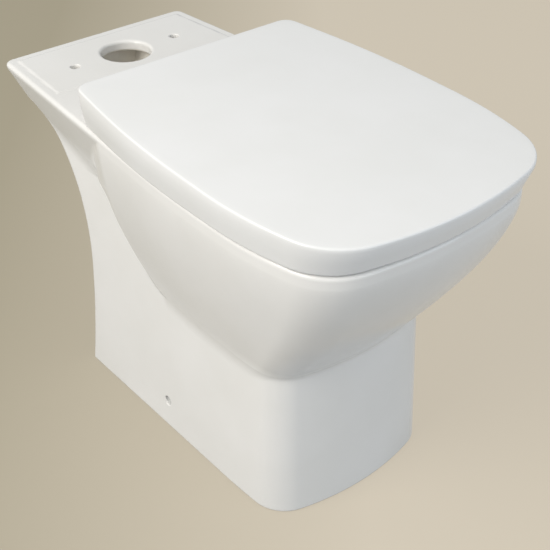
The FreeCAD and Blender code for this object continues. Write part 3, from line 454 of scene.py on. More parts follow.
RING_HOLE = Plan(
    RING_HOLE_HALF_WIDTH, RING_HOLE_FRONT_Y, RING_REAR_Y - RING_REAR_WIDTH,
    RING_HOLE_HIP_Y, RING_HOLE_HIP_Y, *RING_HOLE_RADII,
)

# Flush duct as lowest and highest corners, and the upright holes as X, Y and radius
DUCT_START = OPENING.rear_y + CURTAIN_WALL
DUCT_END = INLET_Y + DUCT_HALF_WIDTH
DUCT_OUTER_HALF = DUCT_HALF_WIDTH + DUCT_WALL
DUCT_OUTSIDE = (
    (-DUCT_OUTER_HALF, DUCT_START, DUCT_FLOOR - DUCT_WALL),
    (DUCT_OUTER_HALF, DUCT_END + DUCT_WALL, RIM_HEIGHT - EDGE_RADIUS),
)
DUCT_INSIDE = (
    (-DUCT_HALF_WIDTH, DUCT_START + CURTAIN_WALL / 2, DUCT_FLOOR),
    (DUCT_HALF_WIDTH, DUCT_END, PLATE_UNDERSIDE),
)
DECK_HOLES = (
    (CISTERN_BOLT_X, INLET_Y, CISTERN_BOLT_RADIUS),
    (HINGE_X, HINGE_Y, HINGE_HOLE_RADIUS),
)


def smooth_min(first, second, width):
    """The union of two fields with a soft inner corner."""
    overlap = np.maximum(width - np.abs(first - second), 0.0) / width
    return np.minimum(first, second) - overlap ** 2 * width / 4


def round_max(first, second, radius):
    """The overlap of two fields with a rounded outer edge."""
    near_first = first + radius
    near_second = second + radius
    corner = np.hypot(np.maximum(near_first, 0.0), np.maximum(near_second, 0.0))
    return np.minimum(np.maximum(near_first, near_second), 0.0) + corner - radius


def box_field(x, y, z, low, high):
    """The field of a block between two corners."""
    sides = [np.maximum(start - at, at - end) for at, start, end in zip((x, y, z), low, high)]
    return np.maximum.reduce(sides)


def bowl_plan(z, rear_y, rear_end, crease_end, rear_radius):
    """The bowl at heights: full at the rim, closing in to the crease and the sump."""
    depth = np.maximum((PLATE_UNDERSIDE - z) / (PLATE_UNDERSIDE - CREASE_HEIGHT), 0.0)
    share = np.minimum(depth, 1.0) ** BOWL_BULGE
    sink = np.clip((CREASE_HEIGHT - z) / (CREASE_HEIGHT - SUMP_BASE), 0.0, 1.0)
    narrowing = 1 - SUMP_NARROWING * sink
    half_width = between(RIM.half_width, CREASE_HALF_WIDTH, share) * narrowing
    front_y = between(RIM_FRONT_Y, CREASE_FRONT_Y, share)
    front_y = between(front_y, crease_end, SUMP_SHORTENING * sink)
    length = rear_y - front_y
    rim_length = rear_end - RIM_FRONT_Y
    crease_length = crease_end - CREASE_FRONT_Y
    hip_share = between(RIM_HIP_SETBACK / rim_length, FOOT_HIP_SETBACK / crease_length, share)
    hip_front_y = front_y + hip_share * length
    radii = [between(rim, foot, share) * narrowing for rim, foot in zip(RIM_RADII, FOOT_RADII)]
    return Plan(
        half_width, front_y, rear_y,
        hip_front_y, hip_front_y + RIM_HIP_LENGTH * length / rim_length,
        *radii, rear_radius * length / rim_length, RIM_FLANK_RADIUS, RIM_TAPER,
    )


def fall_below(z, shoulder):
    """Share of the way down from a shoulder to the crease."""
    return np.clip((shoulder - z) / (shoulder - CREASE_HEIGHT), 0.0, 1.0)


def bowl_outside(x, y, z):
    """The field of the outer skin of the bowl, its rear end rounded down to the crease."""
    rear_end = BOWL_REAR_Y + SKIN_REAR_SHIFT
    crease_end = BOWL_REAR_CREASE_Y + SKIN_CREASE_SHIFT
    share = (1 - fall_below(z, SKIN_SHOULDER) ** SKIN_CURVE) ** (1 / SKIN_CURVE)
    rear_y = between(crease_end, rear_end, share)
    return bowl_plan(z, rear_y, rear_end, crease_end, SKIN_REAR_RADIUS).distance(x, y)


def bowl_inside(x, y, z):
    """The field of the basin, a wall further in, its rear wall sloping forward to the sump."""
    fall = fall_below(z, BOWL_REAR_SHOULDER) ** BOWL_REAR_CURVE
    rear_y = between(BOWL_REAR_Y, BOWL_REAR_CREASE_Y, fall)
    plan = bowl_plan(z, rear_y, BOWL_REAR_Y, BOWL_REAR_CREASE_Y, BOWL_REAR_RADIUS)
    return plan.distance(x, y) + WALL


def rear_edge():
    """The rear edge of the pedestal seen from the side, as heights and places along Y."""
    sweep = (WAIST_STEP ** 2 + WAIST_HEIGHT ** 2) / (2 * WAIST_STEP)
    lower_z = np.linspace(0.0, WAIST_HEIGHT, WAIST_STEPS, endpoint=False)
    lower_y = WAIST_REAR_Y + sweep - np.sqrt(sweep ** 2 - (WAIST_HEIGHT - lower_z) ** 2)
    rise = DECK_UNDERSIDE - WAIST_HEIGHT
    run = SWOOP_END_Y - WAIST_REAR_Y
    share = np.linspace(0.0, 1.0, SWOOP_STEPS)
    rest = 1 - share
    lower_pull = 3 * rest ** 2 * share
    upper_pull = 3 * rest * share ** 2
    upper_z = lower_pull * SWOOP_LOWER_PULL + upper_pull * SWOOP_UPPER_PULL + share ** 3
    upper_y = upper_pull * SWOOP_UPPER_LEAN + share ** 3
    heights = np.concatenate([lower_z, WAIST_HEIGHT + rise * upper_z])
    places = np.concatenate([lower_y, WAIST_REAR_Y + run * upper_y])
    return heights, places


EDGE_HEIGHTS, EDGE_PLACES = rear_edge()
EDGE_SLOPES = np.gradient(EDGE_PLACES, EDGE_HEIGHTS)


def behind_pedestal(y, z):
    """The field of the pan seen from the side: above zero under the deck and behind the pedestal."""
    place = np.interp(z, EDGE_HEIGHTS, EDGE_PLACES)
    slope = np.interp(z, EDGE_HEIGHTS, EDGE_SLOPES)
    behind = (y - place) / np.hypot(1.0, slope)
    return smooth_min(DECK_UNDERSIDE - z, behind, UNDER_DECK_BLEND)


def trap_route():
    """Straight runs and bends of the middle line of the trapway, in the YZ plane."""
    corners = np.array([
        (TRAP_DIP_Y - TRAP_START, TRAP_DIP_HEIGHT),
        (TRAP_DIP_Y, TRAP_DIP_HEIGHT),
        (TRAP_CREST_Y, TRAP_CREST_HEIGHT),
        (TRAP_DROP_Y, OUTLET_HEIGHT),
        (OUTLET_END_Y + OUTLET_RADIUS, OUTLET_HEIGHT),
    ])
    runs = []
    bends = []
    start = corners[0]
    for before, corner, after in zip(corners, corners[1:], corners[2:]):
        arriving = (corner - before) / np.linalg.norm(corner - before)
        leaving = (after - corner) / np.linalg.norm(after - corner)
        half_turn = math.acos(arriving @ leaving) / 2
        reach = TRAP_BEND_RADIUS * math.tan(half_turn)
        inward = (leaving - arriving) / np.linalg.norm(leaving - arriving)
        centre = corner + inward * TRAP_BEND_RADIUS / math.cos(half_turn)
        runs.append((start, corner - arriving * reach))
        bends.append((centre, -inward, math.cos(half_turn)))
        start = corner + leaving * reach
    runs.append((start, corners[-1]))
    return runs, bends


TRAP_RUNS, TRAP_BENDS = trap_route()


def trap_axis_distance(y, z):
    """Distance in the YZ plane from the middle line of the trapway."""
    nearest = np.full(np.shape(y), np.inf)
    for start, end in TRAP_RUNS:
        span = end - start
        away_y = y - start[0]
        away_z = z - start[1]
        share = np.clip((away_y * span[0] + away_z * span[1]) / (span @ span), 0.0, 1.0)
        nearest = np.minimum(nearest, np.hypot(away_y - share * span[0], away_z - share * span[1]))
    for centre, outward, least in TRAP_BENDS:
        away_y = y - centre[0]
        away_z = z - centre[1]
        radius = np.hypot(away_y, away_z)
        inside = away_y * outward[0] + away_z * outward[1] >= least * radius
        nearest = np.where(inside, np.minimum(nearest, np.abs(radius - TRAP_BEND_RADIUS)), nearest)
    return nearest


def band_side(x, y, z):
    """The side of the rim and deck: upright at the top, leaning in below it behind the bowl."""
    half = BAND_SOFTNESS / 2
    below = BAND_TOP - z
    drop = np.where(below > half, below, np.maximum(below + half, 0.0) ** 2 / (2 * BAND_SOFTNESS))
    side = between(RIM.distance(x, y), BAND_LOWER.distance(x, y), drop / BAND_DEPTH)
    end = np.maximum(RIM.hip_rear_y - y, below - BAND_DEPTH)
    return np.maximum(side, np.minimum(end, PLATE_UNDERSIDE - z))


def foot_side(plan, x, y, z):
    """The side of the pedestal on an outline at the floor, narrower upwards."""
    return plan.distance(x, y) + z * math.tan(math.radians(FOOT_DRAFT))


def skirt_hollow(x, y, z):
    """The field of the hollow inside the pedestal and under the deck."""
    inside = smooth_min(band_side(x, y, z) + WALL, foot_side(FOOT_INSIDE, x, y, z), SKIRT_BLEND)
    return np.maximum(inside, z - PLATE_UNDERSIDE)


def deck_top(x, y):
    """Height of the rim and deck, with the flat seat for a cistern raised on the deck."""
    back = np.clip((y - PAD_FRONT_Y) / PAD_RAMP, 0.0, 1.0)
    within = np.clip((-RIM.distance(x, y) - PAD_INSET) / PAD_RAMP, 0.0, 1.0)
    return RIM_HEIGHT + PAD_HEIGHT * back * within


def shell(x, y, z):
    """The field of the deck band and the pedestal, hollow and open behind."""
    skirt = smooth_min(band_side(x, y, z), foot_side(FOOT, x, y, z), SKIRT_BLEND)
    walls = np.maximum(skirt, -skirt_hollow(x, y, z))
    walls = round_max(walls, behind_pedestal(y, z), REAR_EDGE_RADIUS)
    return round_max(walls, -z, FLOOR_EDGE_RADIUS)


def crease_width(y, z):
    """Width of the soft corner between bowl and shell, wide in the notch behind the bowl."""
    low = np.clip((PLATE_UNDERSIDE - z) / NOTCH_BLEND_RISE, 0.0, 1.0)
    far = np.clip((y - NOTCH_FRONT_Y) / NOTCH_RUN, 0.0, 1.0)
    notch = np.maximum(NOTCH_BLEND * low * far, SMALLEST_BLEND)
    lower = np.clip((NOTCH_HEIGHT - z) / NOTCH_FADE, 0.0, 1.0)
    return between(notch, CREASE_BLEND, lower)


def basin_hollow(x, y, z):
    """The field of the open basin, with the curtain of the rim hanging into it."""
    opening = OPENING.distance(x, y)
    hollow = round_max(bowl_inside(x, y, z), SUMP_BASE + WALL - z, SUMP_RADIUS - WALL)
    hollow = np.maximum(hollow, z - PLATE_UNDERSIDE)
    curtain = np.maximum(opening - CURTAIN_WALL, CURTAIN_BOTTOM - z)
    hollow = round_max(hollow, -curtain, EDGE_RADIUS)
    return np.minimum(hollow, np.maximum(opening, CURTAIN_BOTTOM - WALL - z))


def ceramic(x, y, z):
    """The field of the fired body: below zero in the ceramic, zero on its surface."""
    x = np.abs(x)
    basin = round_max(bowl_outside(x, y, z), SUMP_BASE - z, SUMP_RADIUS)
    body = smooth_min(shell(x, y, z), basin, crease_width(y, z))
    tube = np.hypot(x, trap_axis_distance(y, z))
    spigot = round_max(tube - OUTLET_RADIUS, y - OUTLET_END_Y, EDGE_RADIUS)
    body = smooth_min(body, spigot, TRAP_BLEND)
    body = np.minimum(body, box_field(x, y, z, *DUCT_OUTSIDE))
    body = np.maximum(body, -basin_hollow(x, y, z))
    body = round_max(body, z - deck_top(x, y), RIM_EDGE_RADIUS)
    body = np.maximum(body, OUTLET_RADIUS - OUTLET_WALL - tube)
    body = np.maximum(body, -box_field(x, y, z, *DUCT_INSIDE))
    above = DUCT_FLOOR - z
    inlet = np.maximum(np.hypot(x, y - INLET_Y) - INLET_RADIUS, above)
    body = round_max(body, -inlet, INLET_EDGE_RADIUS)
    for hole_x, hole_y, radius in DECK_HOLES:
        hole = np.maximum(np.hypot(x - hole_x, y - hole_y) - radius, above)
        body = round_max(body, -hole, HOLE_EDGE_RADIUS)
    side_hole = np.hypot(y - SIDE_HOLE_Y, z - SIDE_HOLE_Z) - SIDE_HOLE_RADIUS
    side_hole = np.maximum(side_hole, FOOT.half_width / 2 - x)
    return round_max(body, -side_hole, SIDE_HOLE_EDGE_RADIUS)


def gradient(field, points, reach):
    """Slope of a field at points, from differences over a reach."""
    return np.column_stack([
        (field(*(points + step).T) - field(*(points - step).T)) / (2 * reach)
        for step in np.eye(3) * reach
    ])


def settle(field, points, spacing):
    """Move points onto the zero surface of a field, by half a grid spacing at most."""
    value = field(*points.T)
    reach = spacing * SLOPE_REACH
    slopes = np.column_stack([
        (field(*(points + step).T) - value) / reach for step in np.eye(3) * reach
    ])
    steepness = np.maximum((slopes ** 2).sum(1), LEAST_STEEPNESS)
    move = -(value / steepness)[:, None] * slopes
    length = np.maximum(np.linalg.norm(move, axis=1), TINY)
    return points + move * np.minimum(1.0, spacing / 2 / length)[:, None]


def grid_line(start, end, spacing, fine):
    """Grid places from start to end, closer together around the centres in fine."""
    places = [start]
    while places[-1] < end:
        near = any(abs(places[-1] - centre) < reach for centre, reach in fine)
        places.append(places[-1] + spacing * (FINE_SHARE if near else 1.0))
    return np.array(places)


def grid_values(field, lines, spacing):
    """A field on a grid, worked out only near its zero surface and marked in or out elsewhere."""
    coarse = np.meshgrid(*[line[::GRID_BLOCK] for line in lines], indexing="ij")
    rough = field(*[places.ravel() for places in coarse]).reshape(coarse[0].shape)
    near = np.abs(rough) < 2 * GRID_BLOCK * spacing
    for axis in range(3):
        rough = np.repeat(rough, GRID_BLOCK, axis)
        near = np.repeat(near, GRID_BLOCK, axis)
    cut = tuple(slice(0, len(line)) for line in lines)
    values = rough[cut]
    at = np.argwhere(near[cut])
    values[tuple(at.T)] = field(*[line[at[:, axis]] for axis, line in enumerate(lines)])
    return values


CELL_CORNERS = list(np.ndindex(2, 2, 2))


def crossed_cells(inside):
    """Grid cells that the surface crosses, and the number of each cell, -1 for the others."""
    shape = [length - 1 for length in inside.shape]
    count = np.zeros(shape, int)
    for corner in CELL_CORNERS:
        count += inside[tuple(slice(start, start + length) for start, length in zip(corner, shape))]
    cells = np.argwhere((count > 0) & (count < len(CELL_CORNERS)))
    number = np.full(shape, -1)
    number[tuple(cells.T)] = np.arange(len(cells))
    return cells, number


def cell_points(values, cells, lines):
    """One point per cell, the mean of the places where the surface crosses its edges."""
    total = np.zeros((len(cells), 3))
    hits = np.zeros(len(cells))
    for axis, along in enumerate(np.eye(3, dtype=int)):
        for corner in [c for c in CELL_CORNERS if c[axis] == 0]:
            start = values[tuple((cells + corner).T)]
            end = values[tuple((cells + corner + along).T)]
            crossed = (start < 0) != (end < 0)
            share = np.where(crossed, start / np.where(crossed, start - end, 1.0), 0.0)
            total += np.where(crossed[:, None], corner + along * share[:, None], 0.0)
            hits += crossed
    shares = total / hits[:, None]
    return np.column_stack([
        between(line[cells[:, axis]], line[cells[:, axis] + 1], shares[:, axis])
        for axis, line in enumerate(lines)
    ])


def cell_quads(inside, number):
    """Faces, each between the four cells round a grid edge that the surface crosses."""
    quads = []
    for axis in range(3):
        sides = [(axis + 1) % 3, (axis + 2) % 3]
        behind = np.delete(inside, -1, axis)
        ahead = np.delete(inside, 0, axis)
        for changed, order in ((behind & ~ahead, 1), (ahead & ~behind, -1)):
            edges = np.argwhere(changed)
            edges = edges[(edges[:, sides] > 0).all(1)]
            ring = []
            for step in ((-1, -1), (0, -1), (0, 0), (-1, 0))[::order]:
                cell = edges.copy()
                cell[:, sides] += step
                ring.append(number[tuple(cell.T)])
            quads.append(np.column_stack(ring))
    return np.vstack(quads)


def even_out(field, points, quads, on_middle, spacing):
    """Move points towards the mean of their neighbours, along the surface."""
    edges = np.vstack([quads[:, [corner, (corner + 1) % 4]] for corner in range(4)])
    edges = np.vstack([edges, edges[:, ::-1]])
    neighbours = np.maximum(np.bincount(edges[:, 0], minlength=len(points)), 1)
    points = settle(field, points, spacing)
    for _ in range(SMOOTHING_ROUNDS):
        points[on_middle, 0] = 0.0
        mean = np.column_stack([
            np.bincount(edges[:, 0], places[edges[:, 1]], len(points)) / neighbours for places in points.T
        ])
        points = settle(field, between(points, mean, SMOOTHING_SHARE), spacing)
    points = settle(field, settle(field, points, spacing), spacing)
    points[on_middle, 0] = 0.0
    return points


def field_mesh(field, low, high, spacing, fine):
    """A closed mesh of the zero surface of a field that is the same on both sides of X = 0.
    One point per grid cell that the surface crosses, set on the surface, with its true normal."""
    starts = (-spacing / 2, low[1] - spacing, low[2] - spacing)
    lines = [grid_line(start, end + spacing, spacing, near) for start, end, near in zip(starts, high, fine)]
    values = grid_values(field, lines, spacing)
    inside = values < 0
    cells, number = crossed_cells(inside)
    quads = cell_quads(inside, number)
    on_middle = cells[:, 0] == 0
    points = even_out(field, cell_points(values, cells, lines), quads, on_middle, spacing)
    normals = gradient(field, points, spacing * NORMAL_REACH)
    normals /= np.maximum(np.linalg.norm(normals, axis=1), TINY)[:, None]
    normals[on_middle, 0] = 0.0

    twin = np.arange(len(points))
    twin[~on_middle] = len(points) + np.arange((~on_middle).sum())
    flip = (-1, 1, 1)
    all_points = np.vstack([points, points[~on_middle] * flip])
    all_normals = np.vstack([normals, normals[~on_middle] * flip])
    all_quads = np.vstack([quads, twin[quads[:, ::-1]]])
    return all_points, all_quads, all_normals


def add_mesh(name, points, faces, material, normals=None):
    """A new object from points in millimetres."""
    mesh = bpy.data.meshes.new(name)
    mesh.from_pydata((np.asarray(points) * MM).tolist(), [], [list(map(int, face)) for face in faces])
    mesh.shade_smooth()
    if normals is not None:
        mesh.normals_split_custom_set_from_vertices(normals.tolist())
    mesh.materials.append(material)
    piece = bpy.data.objects.new(name, mesh)
    bpy.context.scene.collection.objects.link(piece)
    return piece


def dress(piece, body, nodes):
    """Say what a new piece moves with and the solids that it stands for."""
    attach(piece, body)
    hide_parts(*nodes)


def node_material(name):
    """A new node material, its node tree and its shader."""
    material = bpy.data.materials.new(name)
    material.use_nodes = True
    return material, material.node_tree, material.node_tree.nodes["Principled BSDF"]


def add_node(tree, kind, inputs):
    """A new shader node. Each input, by name or number, gets a value or a link from another node."""
    node = tree.nodes.new("ShaderNode" + kind)
    for key, value in inputs.items():
        if isinstance(value, bpy.types.NodeSocket):
            tree.links.new(value, node.inputs[key])
        else:
            node.inputs[key].default_value = value
    return node


def noise(tree, scale, detail):
    """Noise in the object's own coordinates."""
    place = add_node(tree, "TexCoord", {}).outputs["Object"]
    return add_node(tree, "TexNoise", {"Vector": place, "Scale": scale, "Detail": detail}).outputs["Fac"]


def ramp(tree, value, levels, colours):
    """Colours between two levels of a value."""
    node = add_node(tree, "ValToRGB", {"Fac": value})
    for element, level, colour in zip(node.color_ramp.elements, levels, colours):
        element.position = level
        element.color = (*colour, 1.0)
    return node.outputs["Color"]


TINT_DETAIL = 4.0
TINT_LEVELS = (0.35, 0.65)
GLOSS_DETAIL = 3.0
GLOSS_FINENESS = 3.0
GRAIN_DETAIL = 2.0
GRAIN_STRENGTH = 0.5


def surface(name, dark, light, patches, gloss, grain, depth, metallic=0.0):
    """A procedural finish: mottled colour, uneven gloss and a fine surface grain.
    Patches and grain are counts in a metre, gloss is a range of roughness, depth is in metres."""
    material, tree, shader = node_material(name)
    tint = ramp(tree, noise(tree, patches, TINT_DETAIL), TINT_LEVELS, (dark, light))
    uneven = noise(tree, patches * GLOSS_FINENESS, GLOSS_DETAIL)
    rough = add_node(tree, "MapRange", {"Value": uneven, "To Min": gloss[0], "To Max": gloss[1]})
    height = noise(tree, grain, GRAIN_DETAIL)
    relief = add_node(tree, "Bump", {"Height": height, "Distance": depth, "Strength": GRAIN_STRENGTH})
    tree.links.new(tint, shader.inputs["Base Color"])
    tree.links.new(rough.outputs["Result"], shader.inputs["Roughness"])
    tree.links.new(relief.outputs["Normal"], shader.inputs["Normal"])
    shader.inputs["Metallic"].default_value = metallic
    return material


GLAZE = surface(
    "glazed_ceramic", dark=(0.80, 0.79, 0.765), light=(0.83, 0.82, 0.80),
    patches=9.0, gloss=(0.16, 0.22), grain=120.0, depth=0.00004,
)
BISQUE = surface(
    "unglazed_ceramic", dark=(0.70, 0.67, 0.61), light=(0.78, 0.75, 0.69),
    patches=40.0, gloss=(0.6, 0.85), grain=900.0, depth=0.0003,
)
RESIN = surface(
    "seat_resin", dark=(0.83, 0.83, 0.82), light=(0.85, 0.85, 0.845),
    patches=12.0, gloss=(0.18, 0.24), grain=160.0, depth=0.00003,
)
CHROME = surface(
    "chrome", dark=(0.76, 0.77, 0.78), light=(0.82, 0.82, 0.83),
    patches=60.0, gloss=(0.05, 0.14), grain=700.0, depth=0.00002, metallic=1.0,
)
STEEL = surface(
    "zinc_plated_steel", dark=(0.64, 0.64, 0.65), light=(0.76, 0.76, 0.77),
    patches=120.0, gloss=(0.4, 0.6), grain=1500.0, depth=0.00006, metallic=1.0,
)
RUBBER = surface(
    "pad_rubber", dark=(0.70, 0.70, 0.69), light=(0.78, 0.78, 0.77),
    patches=90.0, gloss=(0.55, 0.8), grain=1800.0, depth=0.0001,
)
NYLON = surface(
    "nylon", dark=(0.78, 0.78, 0.76), light=(0.84, 0.84, 0.83),
    patches=80.0, gloss=(0.35, 0.55), grain=1200.0, depth=0.00008,
)
# Nylon for the side caps, grey as painted shade: darker than the other nylon to stand in for the shade
# inside the recessed holes.
PAINTED_SHADE_NYLON = surface(
    "painted_shade_nylon", dark=(0.46, 0.46, 0.45), light=(0.52, 0.52, 0.51),
    patches=80.0, gloss=(0.45, 0.6), grain=1200.0, depth=0.00008,
)
ACETAL = surface(
    "acetal", dark=(0.48, 0.49, 0.50), light=(0.56, 0.57, 0.58),
    patches=80.0, gloss=(0.3, 0.5), grain=1200.0, depth=0.00006,
)


def make_ceramic():
    """The whole fired body as one skin, glazed where it shows and bare inside the skirt."""
    fine = (
        [(CISTERN_BOLT_X, FINE_REACH)],
        [(INLET_Y, FINE_REACH), (SIDE_HOLE_Y, FINE_REACH)],
        [(0.0, GRID), (SIDE_HOLE_Z, FINE_REACH), (RIM_HEIGHT, FINE_REACH)],
    )
    points, quads, normals = field_mesh(
        ceramic, (0.0, RIM_FRONT_Y, 0.0), (RIM_HIGH.x, DECK_REAR_Y, RIM_HIGH.z), GRID, fine,
    )
    piece = add_mesh("ceramic", points, quads, GLAZE, normals)
    piece.data.materials.append(BISQUE)
    x, y, z = points[quads].mean(1).T
    x = np.abs(x)
    bare = (skirt_hollow(x, y, z) < EDGE_RADIUS) & (bowl_inside(x, y, z) > EDGE_RADIUS)
    bare |= z < BARE_HEIGHT
    piece.data.polygons.foreach_set("material_index", bare.astype(np.int32))
    dress(piece, "pan", ("pan_rim", "pan_bowl", "pan_foot", "pan_trap"))


def lid_slope(y):
    """Height of the top of the lid at places along it."""
    share = (y - LID_FRONT_Y) / (LID_REAR_Y - LID_FRONT_Y)
    return RIM_HEIGHT + between(LID_FRONT_RISE, LID_REAR_RISE, share)


def stack_faces(rings, size, first):
    """Faces between closed rings of points that follow one another."""
    faces = []
    for start in range(first, first + size * (rings - 1), size):
        for here in range(size):
            there = (here + 1) % size
            faces.append((start + here, start + there, start + size + there, start + size + here))
    return faces


def with_height(outline, z):
    """An outline at a height, or at one height per point."""
    return np.column_stack([outline, np.broadcast_to(z, len(outline))])


def quarter_turn(count):
    """Angles from zero to a right angle."""
    return np.linspace(0.0, math.pi / 2, count)


def round_edge(radius, count):
    """Steps over a rounded edge from its side to its top, as insets and drops."""
    return [(radius * (1 - math.cos(a)), radius * (1 - math.sin(a))) for a in quarter_turn(count)]


def at_level(plan, inset, z):
    """A plan drawn in, at a height."""
    return with_height(plan.inset(inset).outline(), z)


def on_slope(outline, rise):
    """An outline at a rise above the slope of the lid."""
    return with_height(outline, lid_slope(outline[:, 1]) + rise)


def spine_rings(outline, shares):
    """Outlines that close in on a line along the middle of the lid."""
    spine = np.column_stack([np.zeros(len(outline)), np.clip(outline[:, 1], *LID_SPINE)])
    return [between(outline, spine, share) for share in shares]


def lid_wall(inset, z):
    """Outline of the lid at heights of its skirt, one height per point."""
    share = np.clip((z - LID_BOTTOM) / (LID_SKIRT_TOP - LID_BOTTOM), 0.0, 1.0)
    lower = LID_LOWER.inset(inset).outline()
    upper = LID.inset(inset).outline()
    return with_height(between(lower, upper, share[:, None]), z)


def lid_crown(inset, share):
    """Rise of the top of the lid at an inset, or part of the way from there to the middle."""
    edge = 1 - (inset - LID_EDGE_RADIUS) / LID_HIGH.x
    return LID_CROWN * (1 - (edge * (1 - share)) ** 2)


def lid_lower_edge():
    """Height of the lower edge of the lid, round its outline, lifted behind for the hinges."""
    outline = LID.outline()
    side = (np.abs(outline[:, 0]) - LID_NOTCH_HALF_WIDTH) / LID_NOTCH_SOFTNESS
    at_rear = np.isclose(outline[:, 1], LID_REAR_Y)
    lift = np.where(at_rear, np.clip(0.5 - side, 0.0, 1.0), 0.0)
    return between(LID_BOTTOM, HINGE_Z - LID_NOTCH_MARGIN, lift * lift * (3 - 2 * lift))


def lid_shell():
    """Rings of the lid, from the middle of its ceiling round its skirt to the middle of its top."""
    ceiling = LID.inset(LID_WALL + LID_EDGE_RADIUS).outline()
    rings = [on_slope(ring, -LID_WALL) for ring in spine_rings(ceiling, LID_SPINE_SHARES[::-1])]
    for drop, inset in round_edge(LID_EDGE_RADIUS, LID_CEILING_STEPS):
        rings.append(on_slope(LID.inset(LID_WALL + inset).outline(), -LID_WALL - drop))
    bottom = lid_lower_edge()
    lip = ((0.0, LID_LIP), (LID_LIP_BEVEL, LID_LIP_BEVEL), (LID_LIP, 0.0))
    rings += [lid_wall(LID_WALL - inset, bottom + rise) for inset, rise in lip]
    rings += [lid_wall(inset, bottom + rise) for inset, rise in lip[:0:-1]]
    skirt_top = np.maximum(LID_SKIRT_TOP, bottom + LID_LEAST_SKIRT)
    for share in LID_SKIRT_SHARES:
        rings.append(lid_wall(0.0, between(bottom + LID_LIP, skirt_top, share)))
    for inset, drop in round_edge(LID_EDGE_RADIUS, LID_EDGE_STEPS):
        rings.append(on_slope(LID.inset(inset).outline(), -drop))
    for inset in LID_TOP_INSETS:
        rings.append(on_slope(LID.inset(inset).outline(), lid_crown(inset, 0.0)))
    inmost = LID_TOP_INSETS[-1]
    top = LID.inset(inmost).outline()
    for share, ring in zip(LID_SPINE_SHARES, spine_rings(top, LID_SPINE_SHARES)):
        rings.append(on_slope(ring, lid_crown(inmost, share)))
    return rings


def drawn_in(outline, by):
    """A closed outline of straight sides drawn in by a distance."""
    after = np.roll(outline, -1, 0)
    along = (after - outline) / np.linalg.norm(after - outline, axis=1)[:, None]
    twice_area = (outline[:, 0] * after[:, 1] - after[:, 0] * outline[:, 1]).sum()
    inward = np.column_stack([-along[:, 1], along[:, 0]]) * np.sign(twice_area)
    before = np.roll(inward, 1, 0)
    return outline + by * (before + inward) / (1 + (before * inward).sum(1))[:, None]


def soft_end(outline):
    """Steps over the soft end of a bar, as depths and rings."""
    bow = BAR_BEVEL * BEVEL_BOW
    return [(0.0, drawn_in(outline, BAR_BEVEL)), (bow, drawn_in(outline, bow)), (BAR_BEVEL, outline)]


def bar_rings(start_x, end_x, end):
    """Rings of a bar along X with the same steps at both ends, open where flat ends may go."""
    places = [(start_x + depth, ring) for depth, ring in end]
    places += [(end_x - depth, ring) for depth, ring in end[::-1]]
    return [np.column_stack([np.full(len(ring), x), ring]) for x, ring in places]


def bored_bar(start_x, end_x, outline):
    """A bar along X with a YZ outline, soft ends and a bore for a sleeve on the hinge axis."""
    axis = np.array([HINGE_Y, HINGE_Z])
    angles = np.arctan2(outline[:, 1] - HINGE_Z, outline[:, 0] - HINGE_Y)
    circle = np.column_stack([np.cos(angles), np.sin(angles)])
    bore_end = [
        (BORE_BEVEL, axis + circle * SLEEVE_RADIUS),
        (0.0, axis + circle * (SLEEVE_RADIUS + BORE_BEVEL)),
        (0.0, drawn_in(outline, BAR_BEVEL + BORE_BEVEL)),
    ]
    rings = bar_rings(start_x, end_x, bore_end + soft_end(outline))
    return rings + rings[:1]


def round_about(radius, start, end, count):
    """Points about the hinge axis between two angles in degrees."""
    angles = np.radians(np.linspace(start, end, count))
    return [(HINGE_Y + radius * math.cos(a), HINGE_Z + radius * math.sin(a)) for a in angles]


def ring_piece(name, material, closed, open_ended=()):
    """A new object from stacks of rings, with flat ends on the open ended ones.
    Points that fall together are merged, and only the sharper edges stay sharp."""
    points = []
    faces = []
    first = 0
    for rings, has_ends in [(stack, False) for stack in closed] + [(stack, True) for stack in open_ended]:
        size = len(rings[0])
        last = first + size * (len(rings) - 1)
        faces += stack_faces(len(rings), size, first)
        if has_ends:
            faces += [range(first, first + size), range(last, last + size)]
        points += rings
        first = last + size
    piece = add_mesh(name, np.vstack(points), faces, material)
    work = bmesh.new()
    work.from_mesh(piece.data)
    bmesh.ops.remove_doubles(work, verts=work.verts, dist=MERGE_DISTANCE * MM)
    bmesh.ops.recalc_face_normals(work, faces=work.faces)
    work.to_mesh(piece.data)
    work.free()
    piece.data.shade_smooth()
    piece.data.set_sharp_from_angle(angle=math.radians(SHARP_EDGE))
    return piece


def flip_rings(rings):
    """The same rings on the other side of X = 0."""
    return [ring[::-1] * (-1, 1, 1) for ring in rings]


def make_lid():
    """The cover: a thin crowned cap that wraps down over the ring, with two knuckles behind it."""
    arm_start = LID_REAR_Y - LID_WALL
    arm_top = HINGE_Z + KNUCKLE_RADIUS
    arm_bottom = arm_top - ARM_THICKNESS
    outline = [(arm_start, arm_top)]
    outline += round_about(KNUCKLE_RADIUS, 90, -90, LID_KNUCKLE_STEPS)
    outline.append((HINGE_Y - LID_ARM_HEEL, arm_bottom - LID_ARM_HEEL))
    outline.append((arm_start, arm_bottom + LID_ARM_ROOT))
    knuckle = bored_bar(LID_KNUCKLE_LOW.x, LID_KNUCKLE_HIGH.x, np.array(outline))
    piece = ring_piece("lid", RESIN, [lid_shell(), knuckle, flip_rings(knuckle)])
    dress(piece, "lid", ("seat_lid",))


